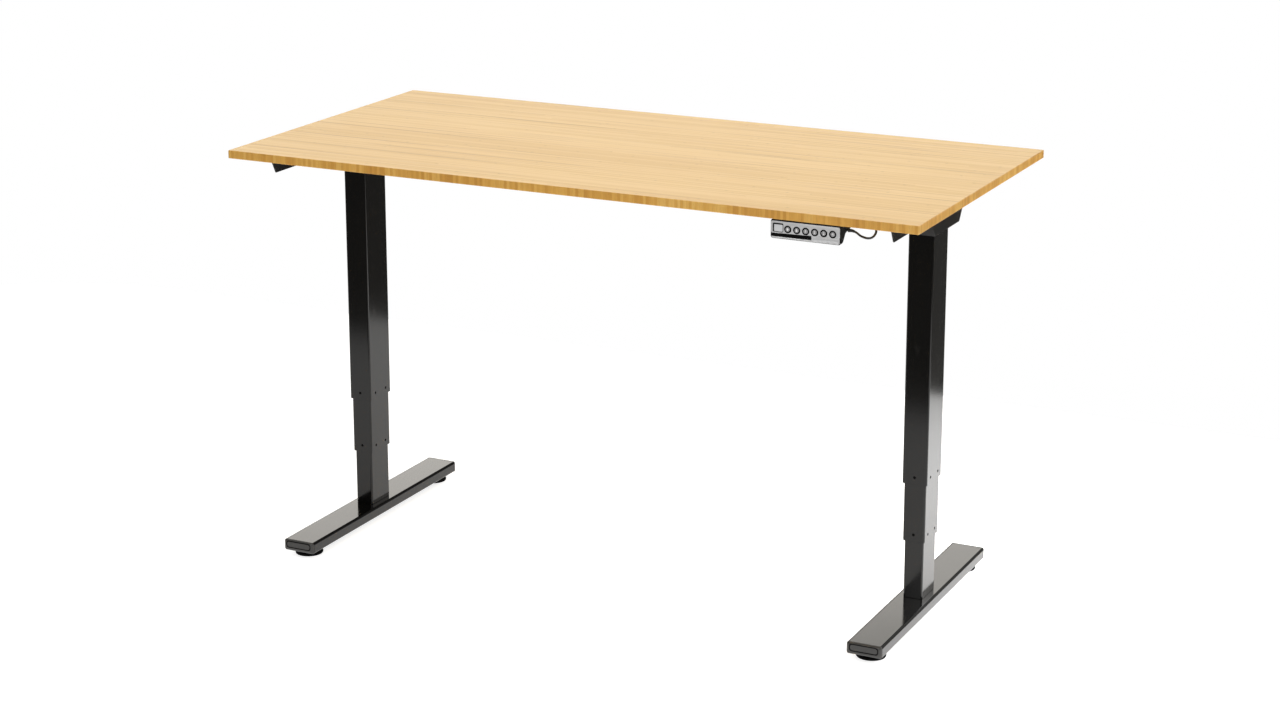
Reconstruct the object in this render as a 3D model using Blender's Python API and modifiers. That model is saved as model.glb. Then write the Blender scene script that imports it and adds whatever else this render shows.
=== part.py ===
"""Height adjustable standing desk: bamboo top on two three-stage electric legs.

Metres, +Z up, +X to the user's right, -Y towards the user. The origin is on the
floor, under the middle of the tabletop.
"""
import math

import bmesh
import bpy
from mathutils import Vector

# Tabletop and overall height
TOP_WIDTH = 1.524
TOP_DEPTH = 0.750
TOP_THICKNESS = 0.017
TOP_EDGE = 0.0015
DESK_HEIGHT = 0.900

# Clearance between pieces that touch
FIT_GAP = 0.0003

# Telescopic legs: outer, middle and inner tube
LEG_INSET = 0.109
COLUMN_Y = -0.0175
OUTER_TUBE_WIDTH = 0.053
OUTER_TUBE_DEPTH = 0.086
TUBE_WALL = 0.0015
TUBE_STEP = 0.0030
TUBE_RADIUS = 0.0040
OUTER_TUBE_LENGTH = 0.5177
MIDDLE_TUBE_LENGTH = 0.505
INNER_TUBE_LENGTH = 0.472
GUIDE_LENGTH = 0.060
GUIDE_RECESS = 0.0005

# Lift screws and their nuts
DRIVE_SCREW_RADIUS = 0.0070
DRIVE_SCREW_LENGTH = 0.380
JOURNAL_RADIUS = 0.0050
JOURNAL_LENGTH = 0.030
BEARING_RADIUS = 0.011
BEARING_HEIGHT = 0.008
HOLLOW_SCREW_WALL = 0.0035
HOLLOW_SCREW_LENGTH = 0.385
RUNNING_GAP = 0.0008
NUT_HEIGHT = 0.025

# Frame head on each leg, with its gearbox and motor
HEAD_WIDTH = 0.059
HEAD_HEIGHT = 0.0774
HEAD_FRONT = 0.0455
HEAD_REAR = 0.0985
HEAD_SLOPE_RUN = 0.025
HEAD_SLOPE_RISE = 0.0365
HEAD_WALL = 0.0025
GEARBOX_WIDTH = 0.044
GEARBOX_DEPTH = 0.054
GEARBOX_HEIGHT = 0.040
MOTOR_RADIUS = 0.0205
MOTOR_LENGTH = 0.058

# Side brackets and rails under the tabletop
BRACKET_WIDTH = 0.074
BRACKET_LENGTH = 0.618
BRACKET_THICKNESS = 0.003
BRACKET_DROP = 0.0360
BRACKET_TAPER = 0.017
RAIL_WIDTH = 0.040
RAIL_HEIGHT = 0.030
RAIL_WALL = 0.0020
RAIL_TO_HEAD = 0.0055
RAIL_END_GAP = 0.011

# Feet, end caps and levelling glides
FOOT_WIDTH = 0.074
FOOT_LENGTH = 0.612
FOOT_HEIGHT = 0.025
FOOT_WALL = 0.0020
FOOT_RADIUS = 0.0035
CAP_FLANGE = 0.003
CAP_PLUG = 0.012
PAD_RADIUS = 0.030
PAD_HEIGHT = 0.0125
PAD_BOSS_RADIUS = 0.012
PAD_RIM = 0.0050
PAD_TO_FOOT = 0.0005
PAD_SPACING = 0.532
STEM_RADIUS = 0.0040
STEM_SEAT = 0.0050
STEM_LENGTH = 0.0300

# Control box with its mains inlet
CONTROL_WIDTH = 0.260
CONTROL_DEPTH = 0.100
CONTROL_HEIGHT = 0.032
CONTROL_WALL = 0.0020
CONTROL_LID = 0.0020
CONTROL_Y = 0.010
INLET_WIDTH = 0.030
INLET_HEIGHT = 0.022
INLET_LENGTH = 0.018
INLET_WALL = 0.003
INLET_BACK = 0.004
INLET_OFFSET = -0.020

# Handset under the front edge
HANDSET_INSET = 0.226
HANDSET_WIDTH = 0.142
HANDSET_DEPTH = 0.074
HANDSET_HEIGHT = 0.037
HANDSET_BACK_HEIGHT = 0.0115
HANDSET_LIP = 0.011
HANDSET_SLOPE = 0.028
HANDSET_MIDDLE_HEIGHT = 0.0205
HANDSET_FRONT = 0.0020
PANEL_THICKNESS = 0.0009
PANEL_BORDER = 0.0012
PANEL_RADIUS = 0.0040
BUTTON_RADIUS = 0.0044
BUTTON_CLEARANCE = 0.0004
BUTTON_HEIGHT = 0.0027
BUTTON_PROUD = 0.0007
BUTTON_POCKET = 0.0030
BUTTON_START = 0.0355
BUTTON_END = 0.0155
BUTTON_DROP = 0.0170
DISPLAY_WIDTH = 0.018
DISPLAY_HEIGHT = 0.014
DISPLAY_START = 0.0075
DISPLAY_DROP = 0.0160

# Leads under the tabletop
HANDSET_LEAD_RADIUS = 0.0022
MOTOR_LEAD_RADIUS = 0.0028
LEAD_STEP = 0.016

# Heights that follow from the sizes above
UNDERSIDE = DESK_HEIGHT - TOP_THICKNESS
FIXING_TOP = UNDERSIDE - FIT_GAP
HEAD_TOP = FIXING_TOP - BRACKET_THICKNESS - FIT_GAP
HEAD_BOTTOM = HEAD_TOP - HEAD_HEIGHT
FOOT_BOTTOM = PAD_HEIGHT + PAD_TO_FOOT
FOOT_TOP = FOOT_BOTTOM + FOOT_HEIGHT
OUTER_TOP = HEAD_BOTTOM - FIT_GAP
OUTER_BOTTOM = OUTER_TOP - OUTER_TUBE_LENGTH
INNER_BOTTOM = FOOT_TOP + FIT_GAP
INNER_TOP = INNER_BOTTOM + INNER_TUBE_LENGTH
# Both stages open by the same amount, so the middle tube hangs half way.
MIDDLE_BOTTOM = FOOT_TOP + (OUTER_BOTTOM - FOOT_TOP) / 2
MIDDLE_TOP = MIDDLE_BOTTOM + MIDDLE_TUBE_LENGTH
COLUMN_X = TOP_WIDTH / 2 - LEG_INSET
HANDSET_X = TOP_WIDTH / 2 - HANDSET_INSET
HOLLOW_SCREW_BORE = DRIVE_SCREW_RADIUS + RUNNING_GAP
HOLLOW_SCREW_RADIUS = HOLLOW_SCREW_BORE + HOLLOW_SCREW_WALL
# The rails run just in front of the heads' sloping sides and just behind them.
FRONT_RAIL_Y = COLUMN_Y - HEAD_FRONT - HEAD_SLOPE_RUN - RAIL_TO_HEAD - RAIL_WIDTH / 2
REAR_RAIL_Y = COLUMN_Y + HEAD_REAR + HEAD_SLOPE_RUN + RAIL_TO_HEAD + RAIL_WIDTH / 2
CORNER_STEPS = 3

# How an outline drawn in its own XY plane is turned into the desk's frame
FLAT = (0.0, 0.0, 0.0)
FACING_FRONT = (math.pi / 2, 0.0, 0.0)
FACING_SIDE = (math.pi / 2, 0.0, math.pi / 2)

SIDES = (("left", -1), ("right", 1))
ENDS = (("front", -1), ("rear", 1))
BUTTONS = ("up", "down", "preset_1", "preset_2", "preset_3", "preset_4")
BUTTON_PITCH = (HANDSET_WIDTH - BUTTON_START - BUTTON_END) / (len(BUTTONS) - 1)


def clear_scene():
    for item in list(bpy.data.objects):
        bpy.data.objects.remove(item, do_unlink=True)


def new_collection(name):
    group = bpy.data.collections.new(name)
    bpy.context.scene.collection.children.link(group)
    return group


def new_finish(name, colour, roughness, metallic=0.0):
    finish = bpy.data.materials.new(name)
    finish.use_nodes = True
    shader = finish.node_tree.nodes["Principled BSDF"]
    shader.inputs["Base Color"].default_value = (*colour, 1.0)
    shader.inputs["Roughness"].default_value = roughness
    shader.inputs["Metallic"].default_value = metallic
    return finish


clear_scene()
DESK = new_collection("standing_desk")
CUTTERS = new_collection("cutters")

BAMBOO = new_finish("bamboo", (0.80, 0.58, 0.32), 0.40)
BLACK_STEEL = new_finish("black_steel", (0.025, 0.025, 0.027), 0.35, 0.2)
BLACK_PLASTIC = new_finish("black_plastic", (0.02, 0.02, 0.022), 0.50)
WHITE_PLASTIC = new_finish("white_plastic", (0.80, 0.80, 0.78), 0.45)
SCREW_STEEL = new_finish("screw_steel", (0.55, 0.55, 0.56), 0.30, 1.0)
MOTOR_STEEL = new_finish("motor_steel", (0.35, 0.35, 0.36), 0.35, 1.0)
RUBBER = new_finish("rubber", (0.015, 0.015, 0.015), 0.80)
SILVER = new_finish("silver", (0.55, 0.55, 0.57), 0.35, 0.6)
GLOSS_BLACK = new_finish("gloss_black", (0.01, 0.01, 0.012), 0.10)
BUTTON_GREY = new_finish("button_grey", (0.45, 0.45, 0.47), 0.40)


def place(name, mesh, centre, turn, finish):
    """Puts a mesh into the desk's collection as a named piece."""
    piece = bpy.data.objects.new(name, mesh)
    piece.location = centre
    piece.rotation_euler = turn
    mesh.materials.clear()
    mesh.materials.append(finish)
    DESK.objects.link(piece)
    return piece


def cutter(piece):
    """Makes a piece a guide that only cuts others."""
    DESK.objects.unlink(piece)
    CUTTERS.objects.link(piece)
    piece.hide_render = True
    piece.display_type = "WIRE"
    return piece


def combine(piece, other, operation):
    boolean = piece.modifiers.new(operation.lower(), "BOOLEAN")
    boolean.operation = operation
    boolean.solver = "EXACT"
    boolean.object = cutter(other)


def round_edges(piece, width, segments=1):
    bevel = piece.modifiers.new("edges", "BEVEL")
    bevel.width = width
    bevel.segments = segments
    bevel.limit_method = "ANGLE"


def block(name, low, high, finish):
    """A box between two corners."""
    low = Vector(low)
    high = Vector(high)
    shape = bmesh.new()
    bmesh.ops.create_cube(shape, size=1.0)
    bmesh.ops.scale(shape, vec=high - low, verts=shape.verts)
    mesh = bpy.data.meshes.new(name)
    shape.to_mesh(mesh)
    shape.free()
    return place(name, mesh, (low + high) / 2, FLAT, finish)


def cylinder(name, radius, length, centre, turn, finish, sides=24):
    shape = bmesh.new()
    bmesh.ops.create_cone(shape, cap_ends=True, segments=sides,
                          radius1=radius, radius2=radius, depth=length)
    mesh = bpy.data.meshes.new(name)
    shape.to_mesh(mesh)
    shape.free()
    piece = place(name, mesh, centre, turn, finish)
    mesh.shade_smooth()
    mesh.set_sharp_from_angle(angle=math.radians(40))
    return piece


def rounded_rectangle(width, height, radius):
    """Corner arcs of a centred rectangle, anticlockwise."""
    points = []
    for quarter, (sx, sy) in enumerate(((1, 1), (-1, 1), (-1, -1), (1, -1))):
        for step in range(CORNER_STEPS + 1):
            angle = (quarter + step / CORNER_STEPS) * math.pi / 2
            points.append((sx * (width / 2 - radius) + radius * math.cos(angle),
                           sy * (height / 2 - radius) + radius * math.sin(angle)))
    return points


def outline_solid(name, loops, thickness, centre, turn, finish):
    """A flat outline, with holes where loops lie inside it, given a thickness."""
    curve = bpy.data.curves.new(name, "CURVE")
    curve.dimensions = "2D"
    curve.fill_mode = "BOTH"
    curve.extrude = thickness / 2
    for loop in loops:
        spline = curve.splines.new("POLY")
        spline.points.add(len(loop) - 1)
        for point, (x, y) in zip(spline.points, loop):
            point.co = (x, y, 0.0, 1.0)
        spline.use_cyclic_u = True
    drawing = bpy.data.objects.new(name + "_outline", curve)
    DESK.objects.link(drawing)
    bpy.context.view_layer.update()
    evaluated = drawing.evaluated_get(bpy.context.evaluated_depsgraph_get())
    mesh = bpy.data.meshes.new_from_object(evaluated)
    bpy.data.objects.remove(drawing, do_unlink=True)
    shape = bmesh.new()
    shape.from_mesh(mesh)
    bmesh.ops.remove_doubles(shape, verts=shape.verts, dist=1e-6)
    bmesh.ops.recalc_face_normals(shape, faces=shape.faces)
    shape.to_mesh(mesh)
    shape.free()
    return place(name, mesh, centre, turn, finish)


def turned(name, profile, centre, finish, steps=24):
    """A profile of (radius, height) points, turned about the vertical axis."""
    mesh = bpy.data.meshes.new(name)
    points = [(radius, 0.0, height) for radius, height in profile]
    edges = [(index, index + 1) for index in range(len(points) - 1)]
    if profile[0][0] > 0:
        edges.append((len(points) - 1, 0))
    mesh.from_pydata(points, edges, [])
    piece = place(name, mesh, centre, FLAT, finish)
    screw = piece.modifiers.new("turn", "SCREW")
    screw.axis = "Z"
    screw.steps = steps
    screw.render_steps = steps
    screw.use_merge_vertices = True
    screw.merge_threshold = 1e-5
    screw.use_smooth_shade = False
    return piece


def smooth_route(points, spacing):
    """Points about a spacing apart on one smooth curve through a route's points."""
    points = [Vector(point) for point in points]
    padded = [2 * points[0] - points[1], *points, 2 * points[-1] - points[-2]]
    route = []
    for p0, p1, p2, p3 in zip(padded, padded[1:], padded[2:], padded[3:]):
        count = max(1, round((p2 - p1).length / spacing))
        for step in range(count):
            t = step / count
            route.append(0.5 * (2 * p1 + (p2 - p0) * t + (2 * p0 - 5 * p1 + 4 * p2 - p3) * t ** 2
                                + (3 * p1 - p0 - 3 * p2 + p3) * t ** 3))
    route.append(points[-1])
    return route


def lead(name, points, radius, finish):
    """A lead that leaves and enters its housings straight, smooth in between."""
    curve = bpy.data.curves.new(name, "CURVE")
    curve.dimensions = "3D"
    curve.bevel_depth = radius
    curve.bevel_resolution = 2
    curve.use_fill_caps = True
    route = [Vector(points[0]), *smooth_route(points[1:-1], LEAD_STEP), Vector(points[-1])]
    spline = curve.splines.new("POLY")
    spline.points.add(len(route) - 1)
    for point, place_on_route in zip(spline.points, route):
        point.co = (*place_on_route, 1.0)
    piece = bpy.data.objects.new(name, curve)
    curve.materials.append(finish)
    DESK.objects.link(piece)


def tube_size(stage, inset=0.0):
    """Width, depth and corner radius of tube 0, 1 or 2, or of what fits in it."""
    narrower = 2 * (stage * TUBE_STEP + inset)
    radius = TUBE_RADIUS - inset * 0.5
    return (OUTER_TUBE_WIDTH - narrower, OUTER_TUBE_DEPTH - narrower, radius)


def tabletop():
    edge_x = TOP_WIDTH / 2
    edge_y = TOP_DEPTH / 2
    top = block("tabletop", (-edge_x, -edge_y, UNDERSIDE), (edge_x, edge_y, DESK_HEIGHT), BAMBOO)
    round_edges(top, TOP_EDGE, 2)


def column_tube(name, stage, bottom, top, x):
    loops = [rounded_rectangle(*tube_size(stage)), rounded_rectangle(*tube_size(stage, TUBE_WALL))]
    outline_solid(name, loops, top - bottom, (x, COLUMN_Y, (top + bottom) / 2), FLAT, BLACK_STEEL)


def guide(name, stage, bottom, x):
    """Plastic sleeve in a tube's lower end, around the next tube."""
    outside = rounded_rectangle(*tube_size(stage, TUBE_WALL + FIT_GAP))
    inside = rounded_rectangle(*tube_size(stage + 1, -FIT_GAP))
    middle = bottom + GUIDE_RECESS + GUIDE_LENGTH / 2
    outline_solid(name, [outside, inside], GUIDE_LENGTH, (x, COLUMN_Y, middle), FLAT, WHITE_PLASTIC)


def nut(name, stage, top, bore, x):
    """Plastic nut block that closes a tube's top end around its screw."""
    size = rounded_rectangle(*tube_size(stage, TUBE_WALL + FIT_GAP))
    hole = [(bore * math.cos(k * math.pi / 12), bore * math.sin(k * math.pi / 12)) for k in range(24)]
    outline_solid(name, [size, hole], NUT_HEIGHT, (x, COLUMN_Y, top - NUT_HEIGHT / 2), FLAT,
                  WHITE_PLASTIC)


def drive_screw(name, x):
    """Solid screw with the journal that the gearbox turns, its shoulder under the bearing."""
    shoulder = HEAD_WALL - BEARING_HEIGHT - FIT_GAP
    profile = [(0.0, JOURNAL_LENGTH), (JOURNAL_RADIUS, JOURNAL_LENGTH), (JOURNAL_RADIUS, shoulder),
               (DRIVE_SCREW_RADIUS, shoulder), (DRIVE_SCREW_RADIUS, -DRIVE_SCREW_LENGTH),
               (0.0, -DRIVE_SCREW_LENGTH)]
    turned(name, profile, (x, COLUMN_Y, HEAD_BOTTOM), SCREW_STEEL, 20)


def bearing(name, x):
    """Ball bearing in the frame head's floor that carries the drive screw."""
    bore = JOURNAL_RADIUS + FIT_GAP
    profile = [(BEARING_RADIUS, HEAD_WALL), (BEARING_RADIUS, HEAD_WALL - BEARING_HEIGHT),
               (bore, HEAD_WALL - BEARING_HEIGHT), (bore, HEAD_WALL)]
    turned(name, profile, (x, COLUMN_Y, HEAD_BOTTOM), SCREW_STEEL, 24)


def hollow_screw(name, x):
    top = MIDDLE_TOP - NUT_HEIGHT - FIT_GAP
    profile = [(HOLLOW_SCREW_RADIUS, 0.0), (HOLLOW_SCREW_RADIUS, -HOLLOW_SCREW_LENGTH),
               (HOLLOW_SCREW_BORE, -HOLLOW_SCREW_LENGTH), (HOLLOW_SCREW_BORE, 0.0)]
    turned(name, profile, (x, COLUMN_Y, top), SCREW_STEEL, 24)


def leg(side, x):
    column_tube(side + "_outer_tube", 0, OUTER_BOTTOM, OUTER_TOP, x)
    column_tube(side + "_middle_tube", 1, MIDDLE_BOTTOM, MIDDLE_TOP, x)
    column_tube(side + "_inner_tube", 2, INNER_BOTTOM, INNER_TOP, x)
    guide(side + "_outer_guide", 0, OUTER_BOTTOM, x)
    guide(side + "_middle_guide", 1, MIDDLE_BOTTOM, x)
    nut(side + "_upper_nut", 1, MIDDLE_TOP, DRIVE_SCREW_RADIUS + FIT_GAP, x)
    nut(side + "_lower_nut", 2, INNER_TOP, HOLLOW_SCREW_RADIUS + FIT_GAP, x)
    drive_screw(side + "_drive_screw", x)
    bearing(side + "_bearing", x)
    hollow_screw(side + "_hollow_screw", x)


def head_outline(inset):
    """Side view of the frame head, its lower corners sloping up to the top plate."""
    front = COLUMN_Y - HEAD_FRONT + inset
    rear = COLUMN_Y + HEAD_REAR - inset
    bottom = HEAD_BOTTOM + inset
    slope_top = HEAD_BOTTOM + HEAD_SLOPE_RISE + inset
    return [(front, bottom), (rear, bottom), (rear + HEAD_SLOPE_RUN, slope_top),
            (rear + HEAD_SLOPE_RUN, HEAD_TOP + inset), (front - HEAD_SLOPE_RUN, HEAD_TOP + inset),
            (front - HEAD_SLOPE_RUN, slope_top)]


def frame_head(side, x):
    """Steel housing, open at the top, that carries the gearbox and the motor."""
    name = side + "_frame_head"
    head = outline_solid(name, [head_outline(0.0)], HEAD_WIDTH, (x, 0.0, 0.0), FACING_SIDE,
                         BLACK_STEEL)
    inside = outline_solid(name + "_inside", [head_outline(HEAD_WALL)], HEAD_WIDTH - 2 * HEAD_WALL,
                           (x, 0.0, 0.0), FACING_SIDE, BLACK_STEEL)
    combine(head, inside, "DIFFERENCE")
    hole = cylinder(name + "_hole", BEARING_RADIUS + FIT_GAP, 4 * HEAD_WALL,
                    (x, COLUMN_Y, HEAD_BOTTOM), FLAT, BLACK_STEEL)
    combine(head, hole, "DIFFERENCE")


def gearbox(side, x):
    floor = HEAD_BOTTOM + HEAD_WALL + FIT_GAP
    name = side + "_gearbox"
    case = block(name, (x - GEARBOX_WIDTH / 2, COLUMN_Y - GEARBOX_DEPTH / 2, floor),
                 (x + GEARBOX_WIDTH / 2, COLUMN_Y + GEARBOX_DEPTH / 2, floor + GEARBOX_HEIGHT),
                 MOTOR_STEEL)
    bore = cylinder(name + "_bore", JOURNAL_RADIUS + FIT_GAP, 2 * JOURNAL_LENGTH + 2 * FIT_GAP,
                    (x, COLUMN_Y, HEAD_BOTTOM), FLAT, MOTOR_STEEL)
    combine(case, bore, "DIFFERENCE")


def motor(side, x):
    start = COLUMN_Y + GEARBOX_DEPTH / 2 + FIT_GAP
    height = HEAD_BOTTOM + HEAD_WALL + FIT_GAP + MOTOR_RADIUS
    cylinder(side + "_motor", MOTOR_RADIUS, MOTOR_LENGTH, (x, start + MOTOR_LENGTH / 2, height),
             FACING_FRONT, MOTOR_STEEL, 28)


def side_bracket(name, x, outward):
    """Angle bar under the tabletop, its outer flange tapered at both ends."""
    edge = outward * BRACKET_WIDTH / 2
    inner = edge - outward * BRACKET_THICKNESS
    top = FIXING_TOP
    under = top - BRACKET_THICKNESS
    outline = [(-edge, under), (inner, under), (inner, top - BRACKET_DROP),
               (edge, top - BRACKET_DROP), (edge, top), (-edge, top)]
    bar = outline_solid(name, [outline], BRACKET_LENGTH, (x, COLUMN_Y, 0.0), FACING_FRONT,
                        BLACK_STEEL)
    for end_name, end in ENDS:
        tip = end * BRACKET_LENGTH / 2
        beyond = tip + end * BRACKET_TAPER
        wedge = [(tip, under), (tip - end * BRACKET_TAPER, top - BRACKET_DROP),
                 (tip - end * BRACKET_TAPER, top - BRACKET_DROP - BRACKET_TAPER),
                 (beyond, top - BRACKET_DROP - BRACKET_TAPER), (beyond, under)]
        cut = outline_solid(f"{name}_{end_name}_taper", [wedge], BRACKET_WIDTH,
                            (x + edge, COLUMN_Y, 0.0), FACING_SIDE, BLACK_STEEL)
        combine(bar, cut, "DIFFERENCE")


def rail(name, y):
    """Square tube that joins the two side brackets."""
    length = 2 * (COLUMN_X + BRACKET_WIDTH / 2 - BRACKET_THICKNESS - RAIL_END_GAP)
    loops = [rounded_rectangle(RAIL_WIDTH, RAIL_HEIGHT, TUBE_RADIUS),
             rounded_rectangle(RAIL_WIDTH - 2 * RAIL_WALL, RAIL_HEIGHT - 2 * RAIL_WALL,
                               TUBE_RADIUS - RAIL_WALL)]
    outline_solid(name, loops, length, (0.0, y, HEAD_TOP - RAIL_HEIGHT / 2), FACING_SIDE,
                  BLACK_STEEL)


def foot(side, x):
    middle = FOOT_BOTTOM + FOOT_HEIGHT / 2
    name = side + "_foot"
    loops = [rounded_rectangle(FOOT_WIDTH, FOOT_HEIGHT, FOOT_RADIUS),
             rounded_rectangle(FOOT_WIDTH - 2 * FOOT_WALL, FOOT_HEIGHT - 2 * FOOT_WALL,
                               FOOT_RADIUS - FOOT_WALL)]
    bar = outline_solid(name, loops, FOOT_LENGTH, (x, COLUMN_Y, middle), FACING_FRONT, BLACK_STEEL)
    for end_name, end in ENDS:
        y = COLUMN_Y + end * PAD_SPACING / 2
        hole = cylinder(f"{name}_{end_name}_hole", STEM_RADIUS + FIT_GAP, 4 * FOOT_WALL,
                        (x, y, FOOT_BOTTOM), FLAT, BLACK_STEEL, 16)
        combine(bar, hole, "DIFFERENCE")
        foot_cap(f"{side}_{end_name}_foot_cap", x, end, middle)
        glide(f"{side}_{end_name}", x, y)


def foot_cap(name, x, end, middle):
    """Plastic plug with a flange that covers the open end of the foot."""
    start = COLUMN_Y + end * (FOOT_LENGTH / 2 + FIT_GAP)
    flange = outline_solid(name, [rounded_rectangle(FOOT_WIDTH, FOOT_HEIGHT, FOOT_RADIUS)],
                           CAP_FLANGE, (x, start + end * CAP_FLANGE / 2, middle), FACING_FRONT,
                           BLACK_PLASTIC)
    inset = 2 * (FOOT_WALL + FIT_GAP)
    plug = block(name + "_plug",
                 (x - (FOOT_WIDTH - inset) / 2 + FOOT_WALL,
                  min(start - end * CAP_PLUG, start + end * CAP_FLANGE / 2),
                  middle - (FOOT_HEIGHT - inset) / 2),
                 (x + (FOOT_WIDTH - inset) / 2 - FOOT_WALL,
                  max(start - end * CAP_PLUG, start + end * CAP_FLANGE / 2),
                  middle + (FOOT_HEIGHT - inset) / 2),
                 BLACK_PLASTIC)
    combine(flange, plug, "UNION")


def glide(name, x, y):
    """Round levelling pad and the threaded stem that turns in the foot."""
    seat = PAD_HEIGHT - STEM_SEAT
    pocket = STEM_RADIUS + FIT_GAP
    profile = [(0.0, seat), (pocket, seat), (pocket, PAD_HEIGHT), (PAD_BOSS_RADIUS, PAD_HEIGHT),
               (PAD_RADIUS, PAD_RIM), (PAD_RADIUS, 0.0), (0.0, 0.0)]
    turned(name + "_glide_pad", profile, (x, y, 0.0), RUBBER, 28)
    low = seat + FIT_GAP
    cylinder(name + "_glide_stem", STEM_RADIUS, STEM_LENGTH - low,
             (x, y, (STEM_LENGTH + low) / 2), FLAT, SCREW_STEEL, 12)


def control_box():
    """Housing open at the top, its mounting plate and the mains inlet."""
    top = FIXING_TOP - CONTROL_LID - FIT_GAP
    low = Vector((-CONTROL_WIDTH / 2, CONTROL_Y - CONTROL_DEPTH / 2, top - CONTROL_HEIGHT))
    high = Vector((CONTROL_WIDTH / 2, CONTROL_Y + CONTROL_DEPTH / 2, top))
    case = block("control_box", low, high, BLACK_PLASTIC)
    wall = Vector((CONTROL_WALL, CONTROL_WALL, CONTROL_WALL))
    inside = block("control_box_inside", low + wall, high - wall + Vector((0, 0, 2 * CONTROL_WALL)),
                   BLACK_PLASTIC)
    combine(case, inside, "DIFFERENCE")
    block("control_box_plate", (low.x, low.y, FIXING_TOP - CONTROL_LID),
          (high.x, high.y, FIXING_TOP), BLACK_STEEL)
    face = low.x - FIT_GAP
    y = CONTROL_Y + INLET_OFFSET
    z = top - CONTROL_HEIGHT / 2
    size = Vector((0.0, INLET_WIDTH / 2, INLET_HEIGHT / 2))
    shroud = block("power_inlet", Vector((face - INLET_LENGTH, y, z)) - size,
                   Vector((face, y, z)) + size, BLACK_PLASTIC)
    mouth = size - Vector((0.0, INLET_WALL, INLET_WALL))
    recess = block("power_inlet_recess", Vector((face - 2 * INLET_LENGTH, y, z)) - mouth,
                   Vector((face - INLET_BACK, y, z)) + mouth, BLACK_PLASTIC)
    combine(shroud, recess, "DIFFERENCE")


def handset():
    """Control panel under the front edge, with a display and six buttons."""
    face = -TOP_DEPTH / 2 + HANDSET_FRONT
    left = HANDSET_X - HANDSET_WIDTH / 2
    top = FIXING_TOP
    bottom = top - HANDSET_HEIGHT
    outline = [(face, bottom + PANEL_BORDER), (face + PANEL_BORDER, bottom),
               (face + HANDSET_LIP, bottom), (face + HANDSET_SLOPE, top - HANDSET_MIDDLE_HEIGHT),
               (face + HANDSET_DEPTH, top - HANDSET_BACK_HEIGHT), (face + HANDSET_DEPTH, top),
               (face, top)]
    case = outline_solid("handset_housing", [outline], HANDSET_WIDTH, (HANDSET_X, 0.0, 0.0),
                         FACING_SIDE, BLACK_PLASTIC)
    panel_front = face - FIT_GAP - PANEL_THICKNESS
    panel_width = HANDSET_WIDTH - 2 * PANEL_BORDER
    panel_height = HANDSET_HEIGHT - 2 * PANEL_BORDER
    centre = Vector((HANDSET_X, face - FIT_GAP - PANEL_THICKNESS / 2, (top + bottom) / 2))
    window_x = left + DISPLAY_START + DISPLAY_WIDTH / 2 - centre.x
    window_z = top - DISPLAY_DROP - centre.z
    hole_radius = BUTTON_RADIUS + BUTTON_CLEARANCE
    loops = [rounded_rectangle(panel_width, panel_height, PANEL_RADIUS)]
    window = rounded_rectangle(DISPLAY_WIDTH + 2 * FIT_GAP, DISPLAY_HEIGHT + 2 * FIT_GAP,
                               PANEL_RADIUS / 2)
    loops.append([(x + window_x, z + window_z) for x, z in window])
    button_z = top - BUTTON_DROP
    for number, button in enumerate(BUTTONS):
        x = left + BUTTON_START + number * BUTTON_PITCH
        ring = [(x - centre.x + hole_radius * math.cos(k * math.pi / 10),
                 button_z - centre.z + hole_radius * math.sin(k * math.pi / 10)) for k in range(20)]
        loops.append(ring)
        pocket = cylinder(f"handset_pocket_{button}", hole_radius, 2 * BUTTON_POCKET,
                          (x, face, button_z), FACING_FRONT, BLACK_PLASTIC, 20)
        combine(case, pocket, "DIFFERENCE")
    outline_solid("handset_panel", loops, PANEL_THICKNESS, centre, FACING_FRONT, SILVER)
    outline_solid("handset_display", [rounded_rectangle(DISPLAY_WIDTH, DISPLAY_HEIGHT,
                                                        PANEL_RADIUS / 2 - FIT_GAP)],
                  PANEL_THICKNESS, centre + Vector((window_x, 0.0, window_z)), FACING_FRONT,
                  GLOSS_BLACK)
    for number, button in enumerate(BUTTONS):
        x = left + BUTTON_START + number * BUTTON_PITCH
        front = panel_front - BUTTON_PROUD
        cylinder("button_" + button, BUTTON_RADIUS, BUTTON_HEIGHT,
                 (x, front + BUTTON_HEIGHT / 2, button_z), FACING_FRONT, BUTTON_GREY, 20)


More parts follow.
